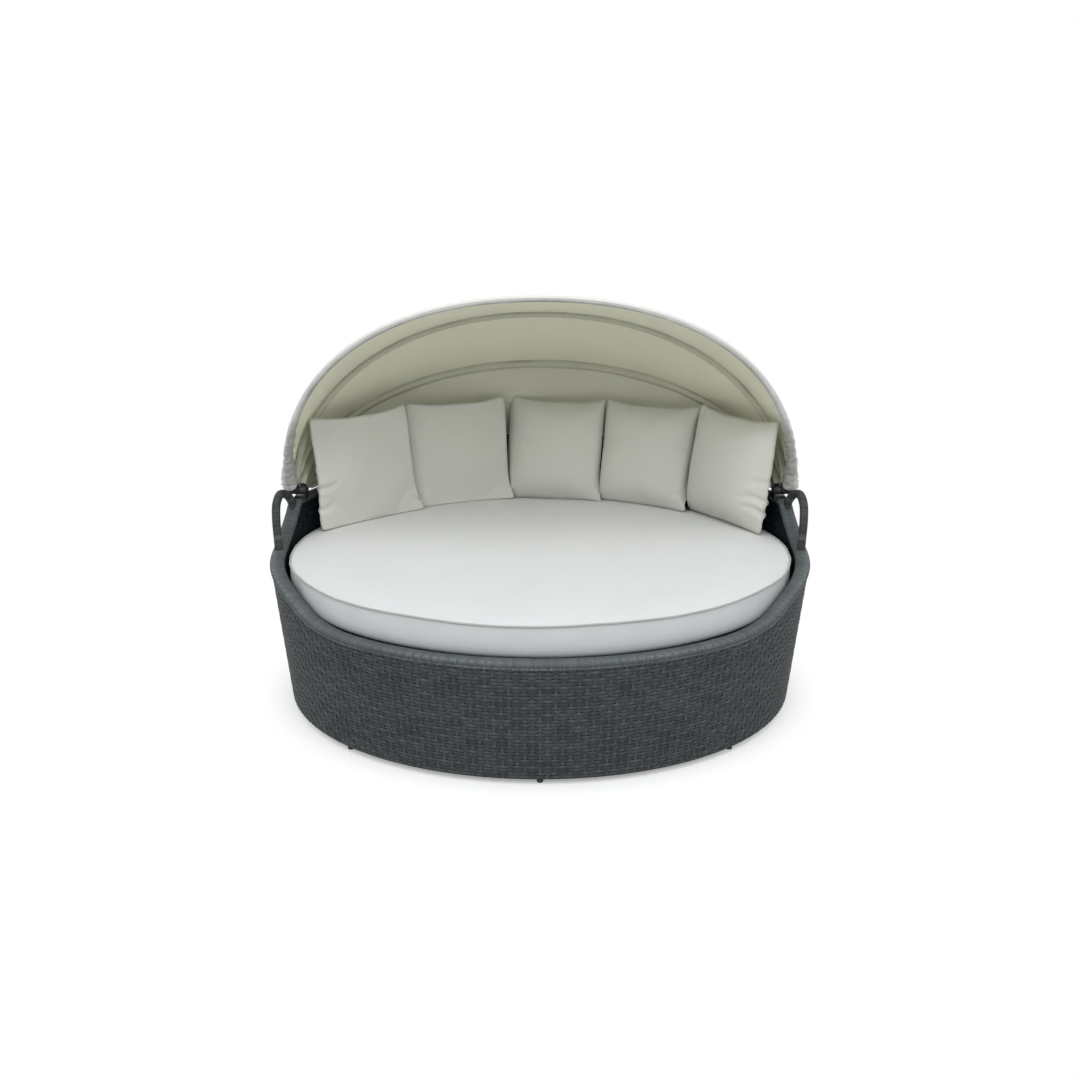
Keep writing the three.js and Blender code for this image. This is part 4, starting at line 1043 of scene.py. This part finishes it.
def canopy_panel(name, front, rear, rows, wrap_rows=(), end_swell=0.0, puckers=0.0, hem_rows=()):
    """One span of the canopy, from the front bow of the span to its rear bow or to the back rim.
    Gives the sheet, its flat width and length, and its area."""
    turns = stations()
    crown = np.sin(turns)
    a_centre, a_out, a_normal = bow_frames(front, turns)
    lift_a = SHEET_LIFT + (HINGE_LIFT + end_swell) * bell(crown, 0.10)
    a_edge = a_centre + a_out * lift_a[:, None]
    b_centre, b_out, b_normal = edge_frames(rear, turns)
    lift_b = SHEET_LIFT + (HINGE_LIFT if rear else 0) * bell(crown, 0.12)
    b_edge = b_centre + b_out * lift_b[:, None]
    along = arc(a_edge)
    grid = []
    # The loose tunnel round the front bow is crinkled low on the sides
    sides = bell(crown - 0.16, 0.26)
    for degrees in wrap_rows:
        psi = math.radians(degrees)
        loose = math.sin(psi if psi < math.pi else math.pi - 0.5)
        walk = 2 * math.pi * along / 0.034 + 1.8 * np.sin(along * 14 + 2)
        one = np.sin(walk + 2.3 * psi + 1.5 * np.sin(along * 23))
        two = np.sin(walk * 0.81 - 2.7 * psi + 1.1 * np.sin(along * 31 + 1))
        crease = np.maximum(one, two) - 0.45 + 0.35 * np.sin(walk * 0.37 + psi)
        uneven = 0.0032 * crease * min(1, psi * 1.5) * (1 + 0.5 * np.sin(along * 13))
        wide = lift_a + sides * (0.0112 * loose + uneven)
        grid.append(round_tube(a_centre, a_out, a_normal, psi, wide[:, None]))
    hinge = np.array([0, *at_hinge(0, 0)])
    jitter = rng.uniform(-1, 1, 8)
    for s in np.linspace(0, 1, rows)[1 if wrap_rows else 0:]:
        point = a_edge + (b_edge - a_edge) * s
        inward = unit((hinge - point) * [0, 1, 1])
        across = unit(np.stack([-point[:, 0] / HALF_WIDTH ** 2, *(inward[:, 1:] * 1.1).T], -1))
        folds = np.sin(2 * math.pi * (3.2 * s + 0.12 * jitter[1])) * min(1, 4 * s, 4 * (1 - s))
        drop = sunk(front, crown, s, folds)
        # Small puckers along the front seam, strongest low on the sides
        low_side = puckers * (bell(crown - 0.15, 0.32) + 0.12)
        wave = np.sin(2 * math.pi * along / 0.027 + 1.3 * np.sin(along * 9 + jitter[2]) + 5 * s)
        drop += low_side * wave * bell(s - 0.10, 0.13)
        wave = np.sin(2 * math.pi * along / 0.041 - 9 * s + jitter[3])
        drop += low_side * wave * bell(s - 0.32, 0.22) * 0.6
        # Long soft ripples from the uneven pull of the seams
        drop += 0.0012 * np.sin(2 * math.pi * along / 0.19 + 2.2 * s + jitter[4]) * 4 * s * (1 - s)
        point = point + across * drop[:, None]
        point[:, 0] += np.sign(np.cos(turns)) * end_swell * bell(crown, 0.13) * (1 - s) * 0.5
        grid.append(point)
    for degrees in hem_rows:
        grid.append(round_tube(b_centre, b_out, b_normal, math.radians(degrees), SHEET_LIFT))
    grid = np.stack(grid)
    obj = new_object(name, grid.reshape(-1, 3), grid_faces(len(grid), STATIONS), canopy_out_mat)
    # The inner face: painted light under the front spans, painted shade under the rear panel
    obj.data.materials.append(canopy_in_lit_mat if rear else canopy_rear_shaded_mat)
    row, middle = len(grid) // 2, STATIONS // 2
    face_away(obj, row * STATIONS + middle, grid[row, middle] - hinge)
    seam = [np.linalg.norm(grid - edge[None], axis=-1) for edge in (a_edge, b_edge)]
    paint(obj, "seam", np.minimum(*seam))
    # Painted shade on the tunnel round the front bow: darker where it turns under the bow, and low
    # on the sides
    shade = np.zeros(grid.shape[:2])
    for k, degrees in enumerate(wrap_rows):
        shade[k] = np.clip((degrees - 40) / 75, 0, 0.8) + 0.42 * sides
    paint(obj, "edge", np.minimum(shade, 0.85))
    paint(obj, "run", np.broadcast_to(along, grid.shape[:2]))
    shell(obj)
    return obj, (along[-1], arc(grid[:, middle])[-1]), grid_area(grid)


# Rows across a sleeve under the tube, in degrees, and the painted shade of each of all its rows,
# darkest in the creases where it meets the sheet
SLEEVE_ROWS = (62, 40, 20, 0, -20, -40, -62)
SLEEVE_PAINTED_SHADE = (0.2, 0.8, 0.2, 0, 0, 0, 0, 0, 0.05, 0.4, 0.1)


def sleeve(bow, front, rear, end):
    """The cloth tunnel of a bow: it leaves the sheet, passes under the tube and joins it again."""
    turns = np.linspace(end, math.pi - end, 620)
    crown = np.sin(turns)
    centre, out, normal = bow_frames(bow, turns)
    edge = centre + out * (SHEET_LIFT - SHEET_THICKNESS)
    along = arc(centre)
    turned = 2 * math.pi * along
    ripple = 0.0005 * np.sin(turned / 0.043 + 1) + 0.0003 * np.sin(turned / 0.021)
    width = (0.0190 + 0.0012 * np.sin(turned / 0.31)) * np.clip(0.58 + crown / 0.5, 0, 1)
    flaps = []
    for other, span in ((front, front), (rear, bow)):
        far, far_out, _ = edge_frames(other, turns)
        across = far + far_out * SHEET_LIFT - edge
        # Kept under the sag and the pleats of the sheet it is sewn to
        share = np.minimum(width / np.linalg.norm(across, axis=1), 0.5)
        drop = sunk(span, crown, share, np.minimum(1, 4 * share))[:, None]
        flaps.append([edge + unit(across) * (width + 0.0015)[:, None] - out * drop,
                      edge + unit(across) * width[:, None] - out * (0.0022 + drop)])
    rows = flaps[0]
    for degrees in SLEEVE_ROWS:
        psi = math.radians(degrees)
        lift = (0.0100 + ripple + 0.0012 * abs(math.sin(psi)))[:, None]
        rows.append(round_tube(centre, -out, normal, psi, lift))
    rows += flaps[1][::-1]
    points = np.concatenate(rows)
    obj = new_object(f"bow_sleeve_{bow}", points, grid_faces(len(rows), len(turns)), sleeve_shaded_mat)
    # Painted shade in the creases where the sleeve meets the sheet
    paint(obj, "edge", np.repeat(SLEEVE_PAINTED_SHADE, len(turns)))
    middle = len(turns) // 2
    face_away(obj, 5 * len(turns) + middle, -out[middle])
    return subdivide(obj)


front_sheet, front_flat, front_area = canopy_panel(
    "canopy_front", "front", "second", 30,
    wrap_rows=(230, 200, 170, 140, 112, 84, 56, 28, 0), end_swell=0.013, puckers=0.0032)
middle_sheet, middle_flat, middle_area = canopy_panel("canopy_middle", "second", "third", 22)
rear_sheet, rear_flat, rear_area = canopy_panel(
    "canopy_rear", "third", None, 22, hem_rows=(40, 80, 120, 160))
sleeves = {
    "second": sleeve("second", "front", "third", 0.035),
    "third": sleeve("third", "second", None, 0.040),
}

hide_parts("front_cloth")
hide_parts("middle_cloth")
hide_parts("rear_cloth", "back_skirt")


def declare(flat, area):
    width, length = flat
    length = max(length, area / width)


def across_fold(panel):
    """Bakes the placement of a sheet into its mesh."""
    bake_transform(panel)


declare(front_flat, front_area)
declare(middle_flat, middle_area)
declare(rear_flat, rear_area)

# Pieces ride on their bodies, and the canopy sheets have their placement baked in
for piece in [outer_weave, outer_backing, inner_weave, inner_backing, rim_wrap, seat, seat_piping,
              *arms, *pillows, *pillow_pipings]:
    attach(piece, "base")
for bow, obj in sleeves.items():
    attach(obj, f"{bow}_bow")
across_fold(front_sheet)
across_fold(middle_sheet)
across_fold(rear_sheet)

# Finishes of the solids that show as they are
FINISHES = [
    (glide_mat, ("foot_", "inner_spacer", "outer_spacer")),
    (hardware_mat, ("hinge_bracket", "pivot_", "bracket_screw", "hem_screw")),
    (deck_mat, ("seat_deck",)),
    (bow_mat, ("third_bow", "second_bow", "front_bow", "hem_rail")),
    (frame_mat, ("deck_", "bottom_ring", "top_rail")),
    (frame_mat, ("hinge_post", "back_post", "side_post", "front_post")),
]
for node_name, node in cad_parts.items():
    for material, starts in FINISHES:
        if node_name.startswith(starts):
            node.data.materials.clear()
            node.data.materials.append(material)
            break

# Floor, light and camera
WHITE = (1, 1, 1, 1)
FADE = (0.70, 0.90)
corners = [(-30, -30, 0), (30, -30, 0), (30, 30, 0), (-30, 30, 0)]
floor = new_object("floor", corners, [(0, 1, 2, 3)], smooth=False)
floor_mat = bpy.data.materials.new("pale_floor")
floor_mat.use_nodes = True
nodes = Nodes(floor_mat.node_tree)
surface = nodes.feed(nodes.tree.nodes["Principled BSDF"], {
    "Base Color": (0.80, 0.80, 0.80, 1), "Roughness": 0.9})
# Seen plainly the floor is lifted to white, and fades out to plain white round the shadow
seen = nodes.plain_view()
place = nodes.node("ShaderNodeNewGeometry").outputs["Position"]
distance = nodes.node("ShaderNodeVectorMath", operation="LENGTH")
squeezed = nodes.wired("ShaderNodeVectorMath", place, (0.90, 1, 1), operation="MULTIPLY")
nodes.link(squeezed, distance.inputs[0])
fade = nodes.wired(
    "ShaderNodeMapRange", distance.outputs["Value"], *FADE, interpolation_type="SMOOTHSTEP")
glow = nodes.wired("ShaderNodeEmission", WHITE, nodes.value("MULTIPLY", seen, 0.30))
lifted = nodes.wired("ShaderNodeAddShader", surface.outputs[0], glow)
plain = nodes.wired("ShaderNodeEmission", WHITE, 1.0)
shown = nodes.wired("ShaderNodeMixShader", nodes.value("MULTIPLY", fade, seen), lifted, plain)
nodes.link(shown, nodes.tree.nodes["Material Output"].inputs["Surface"])
floor.data.materials.append(floor_mat)

world = bpy.data.worlds.new("studio")
bpy.context.scene.world = world
world.use_nodes = True
nodes = Nodes(world.node_tree)
studio = nodes.feed(nodes.tree.nodes["Background"], {
    "Color": (0.95, 0.975, 1, 1), "Strength": 0.62})
plain = nodes.wired("ShaderNodeBackground", WHITE, 1.0)
shown = nodes.wired("ShaderNodeMixShader", nodes.plain_view(), studio.outputs[0], plain)
nodes.link(shown, nodes.tree.nodes["World Output"].inputs["Surface"])


def lamp(name, place, aim, size, power):
    data = bpy.data.lights.new(name, "AREA")
    data.shape = "DISK"
    data.size = size
    data.energy = power
    obj = bpy.data.objects.new(name, data)
    obj.location = place
    obj.rotation_euler = (Vector(aim) - Vector(place)).to_track_quat("-Z", "Y").to_euler()
    bpy.context.scene.collection.objects.link(obj)


lamp("top", (0.0, -0.9, 4.6), (0, -0.1, 0.4), 2.8, 78)
lamp("left", (-2.4, -3.4, 3.8), (0, 0, 0.5), 2.6, 46)
lamp("right", (2.4, -3.4, 3.8), (0, 0, 0.5), 2.6, 42)

# The photograph's camera: its distance in pixels, and its tilt in degrees
FOCAL_PIXELS, IMAGE_PIXELS, TILT = 1065, 1080, 19.4
camera = bpy.data.cameras.new("camera")
camera.sensor_width = 36
camera.lens = camera.sensor_width * FOCAL_PIXELS / IMAGE_PIXELS
camera_object = bpy.data.objects.new("camera", camera)
camera_object.location = (0, -3.405 + SHIFT, 1.731)
camera_object.rotation_euler = (math.radians(90 - TILT), 0, 0)
bpy.context.scene.collection.objects.link(camera_object)
bpy.context.scene.camera = camera_object
bpy.context.scene.view_settings.view_transform = "Standard"
